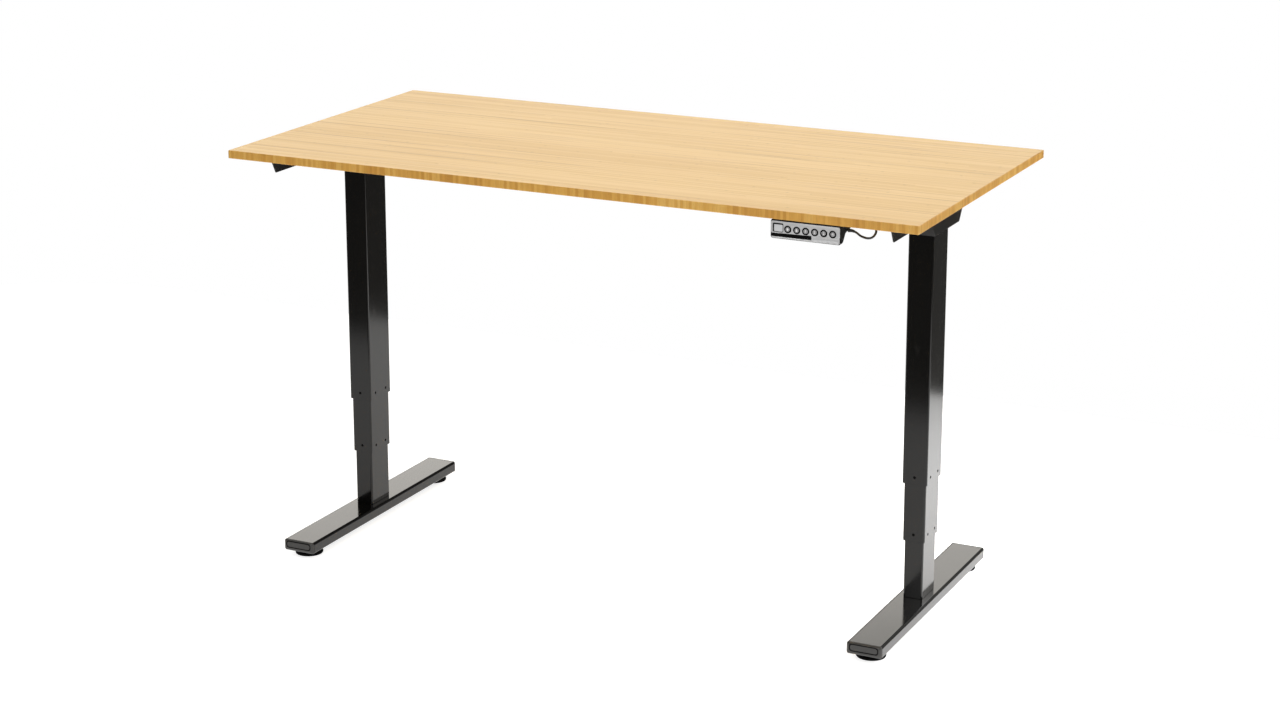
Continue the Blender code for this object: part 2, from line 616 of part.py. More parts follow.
def handset_lead():
    """From the handset's right end in a low loop, then back to the control box."""
    start = HANDSET_X + HANDSET_WIDTH / 2 + FIT_GAP
    front = -TOP_DEPTH / 2
    under_rail = HEAD_TOP - RAIL_HEIGHT - HANDSET_LEAD_RADIUS - 2 * FIT_GAP
    along = UNDERSIDE - HANDSET_LEAD_RADIUS - 3 * FIT_GAP
    entry = CONTROL_WIDTH / 2 + FIT_GAP
    points = [(start, front + 0.0400, UNDERSIDE - 0.0160),
              (start + 0.008, front + 0.0400, UNDERSIDE - 0.0160),
              (start + 0.018, front + 0.0350, UNDERSIDE - 0.0175),
              (start + 0.032, front + 0.0240, UNDERSIDE - 0.0205),
              (start + 0.048, front + 0.0180, UNDERSIDE - 0.0215),
              (start + 0.0565, front + 0.0240, UNDERSIDE - 0.0185),
              (start + 0.054, front + 0.0440, UNDERSIDE - 0.0115),
              (start + 0.032, front + 0.0740, UNDERSIDE - 0.0085),
              (start - 0.020, front + 0.1200, along - 0.0020),
              (start - 0.100, FRONT_RAIL_Y - 0.0850, along),
              (start - 0.145, FRONT_RAIL_Y - 0.0600, along - 0.0040),
              (start - 0.165, FRONT_RAIL_Y - 0.0380, under_rail + 0.0140),
              (start - 0.174, FRONT_RAIL_Y - 0.0250, under_rail - 0.0005),
              (start - 0.183, FRONT_RAIL_Y, under_rail - 0.0020),
              (start - 0.192, FRONT_RAIL_Y + 0.0250, under_rail - 0.0005),
              (start - 0.200, FRONT_RAIL_Y + 0.0380, under_rail + 0.0140),
              (start - 0.225, FRONT_RAIL_Y + 0.0550, along - 0.0060),
              (start - 0.300, CONTROL_Y - 0.0300, along - 0.0040),
              (entry + 0.070, CONTROL_Y - 0.0220, along - 0.0070),
              (entry + 0.025, CONTROL_Y - 0.0205, along - 0.0125),
              (entry + 0.010, CONTROL_Y - 0.0200, along - 0.0130),
              (entry, CONTROL_Y - 0.0200, along - 0.0130)]
    lead("handset_lead", points, HANDSET_LEAD_RADIUS, BLACK_PLASTIC)


def motor_lead(side, direction):
    start = COLUMN_X - HEAD_WIDTH / 2 - FIT_GAP
    entry = CONTROL_WIDTH / 2 + FIT_GAP
    along = UNDERSIDE - MOTOR_LEAD_RADIUS - 3 * FIT_GAP
    y = CONTROL_Y + 0.0250
    points = [(start, y, UNDERSIDE - 0.0200), (start - 0.010, y, UNDERSIDE - 0.0200),
              (start - 0.060, y + 0.002, along - 0.0030), (start - 0.110, y + 0.003, along),
              (start - 0.250, y + 0.004, along), (entry + 0.080, y + 0.002, along - 0.0020),
              (entry + 0.010, y, along - 0.0130), (entry, y, along - 0.0130)]
    lead(side + "_motor_lead", [(direction * px, py, pz) for px, py, pz in points],
         MOTOR_LEAD_RADIUS, BLACK_PLASTIC)


tabletop()
for side_name, outward_sign in SIDES:
    centre_x = outward_sign * COLUMN_X
    leg(side_name, centre_x)
    frame_head(side_name, centre_x)
    gearbox(side_name, centre_x)
    motor(side_name, centre_x)
    side_bracket(side_name + "_side_bracket", centre_x, outward_sign)
    foot(side_name, centre_x)
    motor_lead(side_name, outward_sign)
rail("front_rail", FRONT_RAIL_Y)
rail("rear_rail", REAR_RAIL_Y)
control_box()
handset()
handset_lead()
bpy.context.view_layer.update()
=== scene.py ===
import math

import bmesh
import bpy
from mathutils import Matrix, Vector


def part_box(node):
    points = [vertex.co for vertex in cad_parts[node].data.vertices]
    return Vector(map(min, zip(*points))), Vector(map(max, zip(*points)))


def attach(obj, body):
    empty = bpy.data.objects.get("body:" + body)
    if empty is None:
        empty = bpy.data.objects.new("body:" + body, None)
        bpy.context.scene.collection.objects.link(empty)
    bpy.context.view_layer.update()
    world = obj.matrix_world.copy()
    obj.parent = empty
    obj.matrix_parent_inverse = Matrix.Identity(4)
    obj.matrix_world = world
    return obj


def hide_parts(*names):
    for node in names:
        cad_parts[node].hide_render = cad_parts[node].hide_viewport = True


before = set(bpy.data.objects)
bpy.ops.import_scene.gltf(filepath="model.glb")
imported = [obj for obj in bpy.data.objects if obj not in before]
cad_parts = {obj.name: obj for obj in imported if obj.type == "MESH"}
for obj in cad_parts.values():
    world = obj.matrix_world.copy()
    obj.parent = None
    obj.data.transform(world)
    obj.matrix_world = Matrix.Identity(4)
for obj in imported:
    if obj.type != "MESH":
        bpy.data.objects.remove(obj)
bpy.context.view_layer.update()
print("frame loaded with", len(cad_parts), "nodes")

desk = bpy.data.collections.new("deskLooks")
bpy.context.scene.collection.children.link(desk)
sides = ("left", "right")
ends = ("front", "rear")
down, across = (0, 0, -1), (1, 0, 0)


def addNode(tree, kind, settings=None, values=None):
    # settings go first, because they can change which sockets a node has
    made = tree.nodes.new(kind)
    for key, value in (settings or {}).items():
        if key == "stops":
            fillRamp(made.color_ramp, value)
        else:
            setattr(made, key, value)
    for key, value in (values or {}).items():
        feed(tree, made.inputs[key], value)
    return made


def feed(tree, socket, value):
    if isinstance(value, Wire):
        tree.links.new(value.socket, socket)
    elif isinstance(value, bpy.types.NodeSocket):
        tree.links.new(value, socket)
    else:
        socket.default_value = value


def fillRamp(ramp, stops):
    while len(ramp.elements) < len(stops):
        ramp.elements.new(0.5)
    for element, (place, colour) in zip(ramp.elements, stops):
        element.position = place
        element.color = (*colour, 1.0)


def smoothRange(tree, value, *limits):
    # limits are the range coming in and the range going out
    settings = {"interpolation_type": "SMOOTHSTEP"}
    values = dict(enumerate((value, *limits)))
    return addNode(tree, "ShaderNodeMapRange", settings, values).outputs[0]


def treeMaths(tree, operation, first, second):
    settings = {"operation": operation}
    return addNode(tree, "ShaderNodeMath", settings, {0: first, 1: second}).outputs[0]


class Wire:
    # one output of a shader node; arithmetic on it adds Math nodes
    def __init__(self, finish, socket):
        self.finish = finish
        self.socket = socket

    def __add__(self, other):
        return self.finish.maths("ADD", self, other)

    def __radd__(self, other):
        return self.finish.maths("ADD", other, self)

    def __sub__(self, other):
        return self.finish.maths("SUBTRACT", self, other)

    def __rsub__(self, other):
        return self.finish.maths("SUBTRACT", other, self)

    def __mul__(self, other):
        return self.finish.maths("MULTIPLY", self, other)

    def __rmul__(self, other):
        return self.finish.maths("MULTIPLY", other, self)

    def __truediv__(self, other):
        return self.finish.maths("DIVIDE", self, other)

    def __rtruediv__(self, other):
        return self.finish.maths("DIVIDE", other, self)

    def floor(self):
        return self.finish.maths("FLOOR", self)

    def fraction(self):
        return self.finish.maths("FRACT", self)


class Finish:
    # one material: its shader, and the patterns that its colour and gloss are made from
    def __init__(self, name, colour, roughness, metallic=0.0, fixed=None):
        self.material = bpy.data.materials.new(name)
        self.material.use_nodes = True
        self.tree = self.material.node_tree
        self.shader = self.tree.nodes["Principled BSDF"]
        self.give({"Base Color": (*colour, 1.0), "Roughness": roughness, "Metallic": metallic})
        self.give(fixed or {})
        self.place = self.node("ShaderNodeTexCoord", out="Object")

    def node(self, kind, settings=None, values=None, out=0):
        return Wire(self, addNode(self.tree, kind, settings, values).outputs[out])

    def give(self, values):
        for key, value in values.items():
            feed(self.tree, self.shader.inputs[key], value)

    def maths(self, operation, first, second=0.0):
        return self.node("ShaderNodeMath", {"operation": operation}, {0: first, 1: second})

    def axes(self):
        split = addNode(self.tree, "ShaderNodeSeparateXYZ", None, {0: self.place})
        return [Wire(self, output) for output in split.outputs]

    def noise(self, count, detail=2.0, roughness=0.5):
        # count is how many features a metre holds, one number or one for each axis
        stretch = count if isinstance(count, tuple) else (count,) * 3
        spread = self.node("ShaderNodeMapping", None, {"Vector": self.place, "Scale": stretch})
        values = {"Vector": spread, "Scale": 1.0, "Detail": detail, "Roughness": roughness}
        return self.node("ShaderNodeTexNoise", None, values)

    def noiseAlong(self, value, detail=2.0):
        return self.node("ShaderNodeTexNoise", {"noise_dimensions": "1D"},
                         {"W": value, "Scale": 1.0, "Detail": detail})

    def chance(self, value):
        return self.node("ShaderNodeTexWhiteNoise", {"noise_dimensions": "1D"}, {"W": value})

    def window(self, value, low, high):
        # 0 below low, 1 above high
        return Wire(self, smoothRange(self.tree, value, low, high, 0.0, 1.0))

    def band(self, value, rise, fall):
        return self.window(value, *rise) * (1.0 - self.window(value, *fall))

    def mix(self, factor, first, second):
        values = {0: factor, 6: first, 7: second}
        return self.node("ShaderNodeMix", {"data_type": "RGBA"}, values, out=2)

    def bump(self, height, strength, distance):
        values = {"Height": height, "Strength": strength, "Distance": distance}
        self.give({"Normal": self.node("ShaderNodeBump", None, values)})


def rgba(red, green, blue):
    return (red, green, blue, 1.0)


def scaled(colour, share):
    return rgba(*(part * share for part in colour))


bambooLook = {
    "stripWidth": 0.0068, "stripLength": 1.30, "stripStagger": 9.7, "seeds": (17.3, 5.1),
    "pale": rgba(0.790, 0.525, 0.190), "deep": rgba(0.690, 0.425, 0.125),
    "pieceShare": 0.42, "toneRange": (0.28, 0.76), "broad": (1.3, 7.0, 7.0),
    "fibre": (9.0, 620.0, 300.0), "fibreRange": (0.35, 0.75), "fibreShare": 0.22,
    "streak": rgba(0.44, 0.220, 0.055),
    "longStreaks": (1.2, 105.0, 40.0), "longRange": (0.615, 0.69), "longShare": 0.66,
    "fineStreaks": (2.0, 270.0, 90.0), "fineRange": (0.60, 0.68), "fineShare": 0.46,
    "knuckle": rgba(0.44, 0.24, 0.065), "knuckleSpacing": 0.36, "knuckleStagger": 3.1,
    "knuckleRise": (0.488, 0.497), "knuckleFall": (0.503, 0.512),
    "knuckleOdds": (0.70, 0.72), "knuckleShare": 0.34,
    "seamRise": (0.0, 0.04), "seamFall": (0.96, 1.0)}
edgeLook = {
    "plain": (0.62, 0.36, 0.10), "stripWidth": 0.0061, "wideWidth": 0.043, "wideStart": 0.4,
    "patches": 6.0, "paintedReflectionShare": 0.32, "wideShare": 0.10, "patchShare": 0.62,
    "tones": [(0.20, (0.84, 0.53, 0.150)), (0.45, (0.75, 0.415, 0.088)),
              (0.62, (0.66, 0.335, 0.062)), (0.88, (0.52, 0.235, 0.040))],
    "fibre": (520.0, 520.0, 60.0), "fibreTone": rgba(0.44, 0.21, 0.05),
    "fibreRange": (0.45, 0.75), "fibreShare": 0.35,
    "jointTone": rgba(0.36, 0.17, 0.04), "jointRange": (0.0, 0.10), "jointShare": 0.30}


def bambooTopFinish():
    look = bambooLook
    finish = Finish("bambooTop", look["pale"][:3], 0.42,
                    fixed={"Coat Roughness": 0.28, "Specular IOR Level": 0.20})
    x, y = finish.axes()[:2]
    strip = (y / look["stripWidth"]).floor()
    stripChance = finish.chance(strip)
    piece = (x / look["stripLength"] + stripChance * look["stripStagger"]).floor()
    stripSeed, pieceSeed = look["seeds"]
    pieceChance = finish.chance(strip * stripSeed + piece * pieceSeed)
    broad = finish.noise(look["broad"], 3.0)
    fibre = finish.noise(look["fibre"], 4.0, 0.62)
    share = look["pieceShare"]
    tone = finish.window(pieceChance * share + broad * (1.0 - share), *look["toneRange"])
    colour = finish.mix(tone, look["pale"], look["deep"])
    # long darker streaks, the fainter ones finer
    longStreak = finish.window(finish.noise(look["longStreaks"]), *look["longRange"])
    fineStreak = finish.window(finish.noise(look["fineStreaks"]), *look["fineRange"])
    streaks = longStreak * look["longShare"] + fineStreak * look["fineShare"]
    colour = finish.mix(streaks, colour, look["streak"])
    # knuckles of the cane, one short mark at a time on single strips
    along = (x / look["knuckleSpacing"] + stripChance * look["knuckleStagger"]).fraction()
    knuckle = finish.band(along, look["knuckleRise"], look["knuckleFall"])
    marked = finish.window(pieceChance, *look["knuckleOdds"])
    colour = finish.mix(knuckle * marked * look["knuckleShare"], colour, look["knuckle"])
    fibreMask = finish.window(fibre, *look["fibreRange"]) * look["fibreShare"]
    colour = finish.mix(fibreMask, colour, look["deep"])
    across = (y / look["stripWidth"]).fraction()
    seam = finish.band(across, look["seamRise"], look["seamFall"])
    wear = finish.noise(14.0, 3.0)
    finish.give({"Base Color": colour, "Roughness": 0.36 + fibre * 0.10 + wear * 0.06,
                 "Coat Weight": 0.03 + wear * 0.07})
    finish.bump(seam * 0.5 + fibre * 0.5, 0.10, 0.0003)
    return finish.material


def bambooEdgeFinish():
    # cut ends of the strips, so the tone changes along the edge and the fibres stand up and down
    look = edgeLook
    finish = Finish("bambooEdge", look["plain"], 0.48,
                    fixed={"Coat Roughness": 0.3, "Specular IOR Level": 0.3})
    x, y = finish.axes()[:2]
    along = x + y
    place = along / look["stripWidth"]
    stripChance = finish.chance(place.floor())
    wide = finish.chance((along / look["wideWidth"] + look["wideStart"]).floor())
    patch = finish.noiseAlong(along * look["patches"], 3.0)
    tone = (stripChance * look["paintedReflectionShare"] + wide * look["wideShare"]
            + patch * look["patchShare"])
    colour = finish.node("ShaderNodeValToRGB", {"stops": look["tones"]}, {0: tone})
    fibre = finish.noise(look["fibre"], 3.0, 0.6)
    fibreMask = finish.window(fibre, *look["fibreRange"]) * look["fibreShare"]
    colour = finish.mix(fibreMask, colour, look["fibreTone"])
    joint = finish.window(place.fraction(), *look["jointRange"])
    jointMask = (1.0 - joint) * look["jointShare"] * stripChance
    colour = finish.mix(jointMask, colour, look["jointTone"])
    finish.give({"Base Color": colour, "Roughness": 0.42 + fibre * 0.14,
                 "Coat Weight": 0.08 + patch * 0.10})
    finish.bump(fibre * 0.6 + joint * 0.4, 0.16, 0.0004)
    return finish.material


def powderCoat(name, colour, roughness, level, scuff):
    finish = Finish(name, colour, roughness, fixed={"Specular IOR Level": level})
    peel = finish.noise(780.0)
    cloud = finish.noise(9.0, 3.0)
    rubbed = finish.window(finish.noise((60.0, 60.0, 18.0), 4.0, 0.7), 0.60, 0.80)
    shade = finish.mix(cloud, scaled(colour, 0.75), scaled(colour, 1.35))
    shade = finish.mix(rubbed * scuff, shade, rgba(0.055, 0.052, 0.050))
    finish.give({"Base Color": shade,
                 "Roughness": roughness - 0.03 + cloud * 0.07 + rubbed * 0.06})
    finish.bump(peel, 0.10, 0.00012)
    return finish.material


def moulded(name, colour, roughness, level, grain, strength):
    # injection moulding with an eroded texture
    finish = Finish(name, colour, roughness, fixed={"Specular IOR Level": level})
    texture = finish.noise(grain, 3.0, 0.6)
    cloud = finish.noise(22.0, 3.0)
    finish.give({"Base Color": finish.mix(cloud, scaled(colour, 0.80), scaled(colour, 1.25)),
                 "Roughness": roughness - 0.05 + texture * 0.06 + cloud * 0.06})
    finish.bump(texture, strength, 0.00015)
    return finish.material


def turnedSteel(name, colour, pitch, roughness):
    # fine tool marks around an upright or lying axis, with a film of grease
    finish = Finish(name, colour, roughness, 1.0)
    x, y, z = finish.axes()
    marks = finish.maths("SINE", (z + y * 0.6 + x * 0.3) * (math.tau / pitch))
    film = finish.noise((70.0, 70.0, 40.0), 3.0)
    shade = finish.mix(finish.window(film, 0.35, 0.7), rgba(*colour), scaled(colour, 0.72))
    finish.give({"Base Color": shade, "Roughness": roughness - 0.04 + film * 0.14})
    finish.bump(marks * 0.5 + film * 0.5, 0.18, 0.0001)
    return finish.material


def brushedSilver():
    finish = Finish("silverPanel", (0.60, 0.60, 0.60), 0.30, 0.30)
    brushing = finish.noise((60.0, 60.0, 4200.0), 3.0, 0.6)
    cloud = finish.noise(40.0, 3.0)
    shade = finish.mix(brushing, rgba(0.54, 0.545, 0.555), rgba(0.78, 0.785, 0.80))
    finish.give({"Base Color": shade, "Roughness": 0.26 + brushing * 0.10 + cloud * 0.08})
    finish.bump(brushing, 0.06, 0.00005)
    return finish.material


def cableJacket():
    finish = Finish("cableJacket", (0.018, 0.018, 0.019), 0.38,
                    fixed={"Specular IOR Level": 0.5})
    ripple = finish.noise(160.0)
    dust = finish.window(finish.noise(45.0, 4.0, 0.7), 0.5, 0.8)
    shade = finish.mix(dust, rgba(0.014, 0.014, 0.015), rgba(0.034, 0.032, 0.030))
    finish.give({"Base Color": shade, "Roughness": 0.20 + dust * 0.14})
    finish.bump(ripple, 0.08, 0.0003)
    return finish.material


bambooTop = bambooTopFinish()
bambooEdge = bambooEdgeFinish()
# painted steel: colour, roughness, reflection level, scuffing
blackSteel = powderCoat("blackSteel", (0.0028, 0.0027, 0.0025), 0.12, 0.36, 0.16)
# flat black: painted dark reflection on the feet's upper bends, painted shade in the caps' seam
# and groove
paintedShadeBlack = powderCoat("paintedShadeBlack", (0.0015, 0.0015, 0.0014), 0.40, 0.02, 0.0)
blackBracket = powderCoat("blackBracket", (0.0065, 0.0062, 0.0060), 0.30, 0.22, 0.30)
# plastics and rubber: colour, roughness, reflection level, grains in a metre, grain strength
blackPlastic = moulded("blackPlastic", (0.013, 0.013, 0.014), 0.46, 0.45, 2600.0, 0.22)
capPlastic = moulded("capPlastic", (0.025, 0.0245, 0.0235), 0.38, 0.50, 1800.0, 0.12)
guidePlastic = moulded("guidePlastic", (0.66, 0.66, 0.63), 0.40, 0.40, 900.0, 0.08)
studPlastic = moulded("studPlastic", (0.003, 0.003, 0.003), 0.75, 0.04, 1500.0, 0.15)
padRubber = moulded("padRubber", (0.0025, 0.0025, 0.0025), 0.80, 0.05, 1100.0, 0.25)
# gloss black for the key rims and the display surround, and painted dark reflection on the strip
# under the panel
glossBlackAndPaintedReflection = moulded("glossBlackAndPaintedReflection", (0.003, 0.003, 0.003), 0.30, 0.10, 300.0, 0.02)
buttonGrey = moulded("buttonGrey", (0.37, 0.37, 0.38), 0.36, 0.50, 2200.0, 0.08)
caseBlack = moulded("caseBlack", (0.006, 0.006, 0.006), 0.40, 0.18, 2600.0, 0.15)
symbolWhite = moulded("symbolWhite", (0.90, 0.90, 0.90), 0.45, 0.40, 2000.0, 0.05)
windowGrey = moulded("windowGrey", (0.66, 0.67, 0.69), 0.16, 0.50, 500.0, 0.02)
# turned steel: colour, pitch of the marks, roughness
screwSteel = turnedSteel("screwSteel", (0.55, 0.55, 0.56), 0.0016, 0.26)
motorSteel = turnedSteel("motorSteel", (0.38, 0.38, 0.39), 0.0007, 0.30)
boltSteel = turnedSteel("boltSteel", (0.16, 0.16, 0.165), 0.0009, 0.32)
silverPanel = brushedSilver()
leadBlack = cableJacket()
print("finishes made:", len(bpy.data.materials))


def roundedLoop(width, depth, radius, steps=6):
    # a centred rectangle with corner arcs, anticlockwise
    radius = max(min(radius, width / 2 - 1e-5, depth / 2 - 1e-5), 1e-5)
    points = []
    for quarter, (sx, sy) in enumerate(((1, 1), (-1, 1), (-1, -1), (1, -1))):
        for step in range(steps + 1):
            angle = (quarter + step / steps) * math.pi / 2
            points.append((sx * (width / 2 - radius) + radius * math.cos(angle),
                           sy * (depth / 2 - radius) + radius * math.sin(angle)))
    return points


def laidOut(loop, centre, axis, distance):
    # puts a flat loop across an axis; x loops are (y, z), y loops (x, z), z loops (x, y)
    index = "xyz".index(axis)
    first, second = [k for k in range(3) if k != index]
    points = []
    for u, v in loop:
        point = Vector(centre)
        point[first] += u
        point[second] += v
        point[index] = distance
        points.append(point)
    return points


def insetRing(size, inset, radius, steps, middle, axis, place):
    # a rounded rectangle across an axis, inset from the sides of a box
    width, depth = [size[k] - 2 * inset for k in range(3) if k != "xyz".index(axis)]
    return laidOut(roundedLoop(width, depth, radius, steps), middle, axis, place)


def spanOf(node):
    # the CAD box's lowest and highest corners, its middle and its size
    low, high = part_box(node)
    return low, high, (low + high) / 2, high - low


def skin(shape, rings, closed=False, caps=True):
    # joins rings of equal count into one skin, capped at both ends unless it closes on itself
    rows = [[shape.verts.new(point) for point in ring] for ring in rings]
    pairs = list(zip(rows, rows[1:]))
    if closed:
        pairs.append((rows[-1], rows[0]))
    made = []
    for first, second in pairs:
        for k in range(len(first)):
            made.append(shape.faces.new((first[k - 1], first[k], second[k], second[k - 1])))
    if caps and not closed:
        made.append(shape.faces.new(list(reversed(rows[0]))))
        made.append(shape.faces.new(rows[-1]))
    return made


def circle(radius, steps, phase=0.0):
    return [(radius * math.cos(phase + math.tau * k / steps),
             radius * math.sin(phase + math.tau * k / steps)) for k in range(steps)]


def lathe(shape, profile, centre, axis, steps=48, closed=False):
    # profile points are (radius, place along the axis)
    rings = [laidOut(circle(max(radius, 1e-6), steps), centre, axis, place)
             for radius, place in profile]
    return skin(shape, rings, closed)


def quarterRound(radius, steps):
    # insets and rises of a rounded edge, from the flat side out to the upright one
    angles = [step / steps * math.pi / 2 for step in range(steps + 1)]
    return [(radius * (1 - math.sin(a)), radius * (1 - math.cos(a))) for a in angles]


def placed(name, mesh):
    piece = bpy.data.objects.new(name, mesh)
    desk.objects.link(piece)
    return piece


def finishPiece(name, shape, finishes, smoothAngle=35.0):
    bmesh.ops.remove_doubles(shape, verts=shape.verts, dist=4e-6)
    bmesh.ops.recalc_face_normals(shape, faces=shape.faces)
    mesh = bpy.data.meshes.new(name)
    shape.to_mesh(mesh)
    shape.free()
    for finish in finishes:
        mesh.materials.append(finish)
    mesh.shade_smooth()
    mesh.set_sharp_from_angle(angle=math.radians(smoothAngle))
    return placed(name, mesh)


def skinned(name, rings, finishes, smoothAngle=35.0, closed=False):
    shape = bmesh.new()
    skin(shape, rings, closed)
    return finishPiece(name, shape, finishes, smoothAngle)


def evaluatedMesh(source):
    # the plain mesh that an object comes to; the object is removed
    desk.objects.link(source)
    bpy.context.view_layer.update()
    graph = bpy.context.evaluated_depsgraph_get()
    mesh = bpy.data.meshes.new_from_object(source.evaluated_get(graph))
    bpy.data.objects.remove(source)
    return mesh


def soften(piece, width, segments=2):
    bevel = piece.modifiers.new("softEdges", "BEVEL")
    bevel.width = width
    bevel.segments = segments
    bevel.limit_method = "ANGLE"
    bevel.angle_limit = math.radians(40)
    bevel.harden_normals = True
    return piece


def evenShading(piece):
    weighted = piece.modifiers.new("evenShading", "WEIGHTED_NORMAL")
    weighted.keep_sharp = True
    return piece


def fit(piece, body, slot, *replaced):
    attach(piece, body)
    if replaced:
        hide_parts(*replaced)
    return piece


def smoothRoute(points, spacing):
    # points about a spacing apart on one smooth curve
    points = [Vector(point) for point in points]
    padded = [2 * points[0] - points[1], *points, 2 * points[-1] - points[-2]]
    route = []
    for a, b, c, d in zip(padded, padded[1:], padded[2:], padded[3:]):
        count = max(1, round((c - b).length / spacing))
        for step in range(count):
            t = step / count
            route.append(0.5 * (2 * b + (c - a) * t + (2 * a - 5 * b + 4 * c - d) * t ** 2
                                + (3 * b - a - 3 * c + d) * t ** 3))
    route.append(points[-1])
    return route


def tubeAlong(shape, route, radii, steps=14):
    # sweeps a circle along a route, carrying its frame so that it doesn't twist
    forward = (route[1] - route[0]).normalized()
    aside = forward.orthogonal().normalized()
    rings = []
    for index, place in enumerate(route):
        ahead = route[min(index + 1, len(route) - 1)] - route[max(index - 1, 0)]
        ahead.normalize()
        aside = (aside - ahead * aside.dot(ahead)).normalized()
        up = ahead.cross(aside)
        radius = radii[index] if isinstance(radii, list) else radii
        rings.append([place + (aside * x + up * y) * radius for x, y in circle(1.0, steps)])
    skin(shape, rings)


def newTree(name, inputs):
    tree = bpy.data.node_groups.new(name, "GeometryNodeTree")
    sockets = tree.interface
    sockets.new_socket("Geometry", in_out="INPUT", socket_type="NodeSocketGeometry")
    for label, kind, value in inputs:
        socket = sockets.new_socket(label, in_out="INPUT", socket_type="NodeSocket" + kind)
        if value is not None:
            socket.default_value = value
    sockets.new_socket("Geometry", in_out="OUTPUT", socket_type="NodeSocketGeometry")
    return tree


def closeTree(tree, geometry, material):
    # realised and given its finish, because instances are lost on export
    real = addNode(tree, "GeometryNodeRealizeInstances", None, {0: geometry})
    values = {"Geometry": real.outputs[0], "Material": material}
    coated = addNode(tree, "GeometryNodeSetMaterial", None, values)
    addNode(tree, "NodeGroupOutput", None, {0: coated.outputs[0]})
    return tree


def scatterTree():
    # one shape on every point, its z along "facing" and its x along "along"
    tree = newTree("setOnPoints", [
        ("Shape", "Object", None), ("Size", "Float", 1.0), ("Turn", "Float", 0.0),
        ("Seed", "Int", 1), ("Finish", "Material", None)])
    given = addNode(tree, "NodeGroupInput").outputs
    turn = None
    for axis, label in (("Z", "facing"), ("X", "along")):
        wanted = addNode(tree, "GeometryNodeInputNamedAttribute",
                         {"data_type": "FLOAT_VECTOR"}, {"Name": label})
        values = {"Vector": wanted.outputs[0]}
        if turn:
            values["Rotation"] = turn.outputs[0]
        settings = {"axis": axis, "pivot_axis": "Z" if turn else "AUTO"}
        turn = addNode(tree, "FunctionNodeAlignRotationToVector", settings, values)
    least = treeMaths(tree, "MULTIPLY", given["Turn"], -1.0)
    angle = addNode(tree, "FunctionNodeRandomValue", {"data_type": "FLOAT"},
                    {2: least, 3: given["Turn"], "Seed": given["Seed"]})
    spin = addNode(tree, "FunctionNodeAxisAngleToRotation", None,
                   {"Axis": (0, 0, 1), "Angle": angle.outputs[1]})
    turned = addNode(tree, "FunctionNodeRotateRotation", {"rotation_space": "LOCAL"},
                     {0: turn.outputs[0], 1: spin.outputs[0]})
    source = addNode(tree, "GeometryNodeObjectInfo", None, {"Object": given["Shape"]})
    copies = addNode(tree, "GeometryNodeInstanceOnPoints", None, {
        "Points": given[0], "Instance": source.outputs["Geometry"],
        "Rotation": turned.outputs[0], "Scale": given["Size"]})
    return closeTree(tree, copies.outputs[0], given["Finish"])


def threadTree():
    # a core with a helical ridge around it
    tree = newTree("threadedStem", [
        ("Radius", "Float", 0.004), ("Pitch", "Float", 0.00125), ("Length", "Float", 0.02),
        ("Ridge", "Float", 0.0005), ("Place", "Vector", (0.0, 0.0, 0.0)),
        ("Finish", "Material", None)])
    given = addNode(tree, "NodeGroupInput").outputs
    core = treeMaths(tree, "SUBTRACT", given["Radius"], given["Ridge"])
    turns = treeMaths(tree, "DIVIDE", given["Length"], given["Pitch"])
    helix = addNode(tree, "GeometryNodeCurveSpiral", None, {
        "Resolution": 20, "Rotations": turns, "Start Radius": core, "End Radius": core,
        "Height": given["Length"]})
    ridge = addNode(tree, "GeometryNodeCurvePrimitiveCircle", None,
                    {"Resolution": 4, "Radius": given["Ridge"]})
    wound = addNode(tree, "GeometryNodeCurveToMesh", None,
                    {0: helix.outputs[0], 1: ridge.outputs[0], "Fill Caps": True})
    rod = addNode(tree, "GeometryNodeMeshCylinder", None,
                  {"Vertices": 28, "Radius": core, "Depth": given["Length"]})
    half = treeMaths(tree, "MULTIPLY", given["Length"], 0.5)
    lift = addNode(tree, "ShaderNodeCombineXYZ", None, {2: half})
    raised = addNode(tree, "GeometryNodeTransform", None,
                     {0: rod.outputs["Mesh"], "Translation": lift.outputs[0]})
    both = addNode(tree, "GeometryNodeJoinGeometry")
    for part in (raised, wound):
        tree.links.new(part.outputs[0], both.inputs[0])
    moved = addNode(tree, "GeometryNodeTransform", None,
                    {0: both.outputs[0], "Translation": given["Place"]})
    return closeTree(tree, moved.outputs[0], given["Finish"])


def grown(name, mesh, tree, values):
    # runs a tree on a mesh and keeps the result as a plain mesh
    holder = bpy.data.objects.new(name + "Source", mesh)
    modifier = holder.modifiers.new("grow", "NODES")
    modifier.node_group = tree
    for item in tree.interface.items_tree:
        if item.in_out == "INPUT" and item.name in values:
            modifier[item.identifier] = values[item.name]
    result = evaluatedMesh(holder)
    result.name = name
    result.set_sharp_from_angle(angle=math.radians(35))
    return placed(name, result)


setOnPoints = scatterTree()
threadedStem = threadTree()


def scattered(name, spots, shape, finish, body, slot, size=1.0, turn=0.0, seed=1):
    # spots are (place, facing, along)
    mesh = bpy.data.meshes.new(name + "Points")
    mesh.from_pydata([spot[0] for spot in spots], [], [])
    for label, index in (("facing", 1), ("along", 2)):
        layer = mesh.attributes.new(label, "FLOAT_VECTOR", "POINT")
        for row, spot in zip(layer.data, spots):
            row.vector = spot[index]
    values = {"Shape": shape, "Size": size, "Turn": turn, "Seed": seed, "Finish": finish}
    return fit(grown(name, mesh, setOnPoints, values), body, slot)


# a fastener's head from its base up: shares of its radius and of its height
headProfile = ((1.0, 0.0), (1.0, 0.42), (0.95, 0.70), (0.82, 0.92), (0.62, 1.0))
screwLook = {"radius": 0.0046, "height": 0.0024, "recess": 0.0013, "drive": 0.0024}
boltLook = {"radius": 0.0062, "height": 0.0036, "recess": 0.0020, "drive": 0.0027}
driveTaper = 0.92


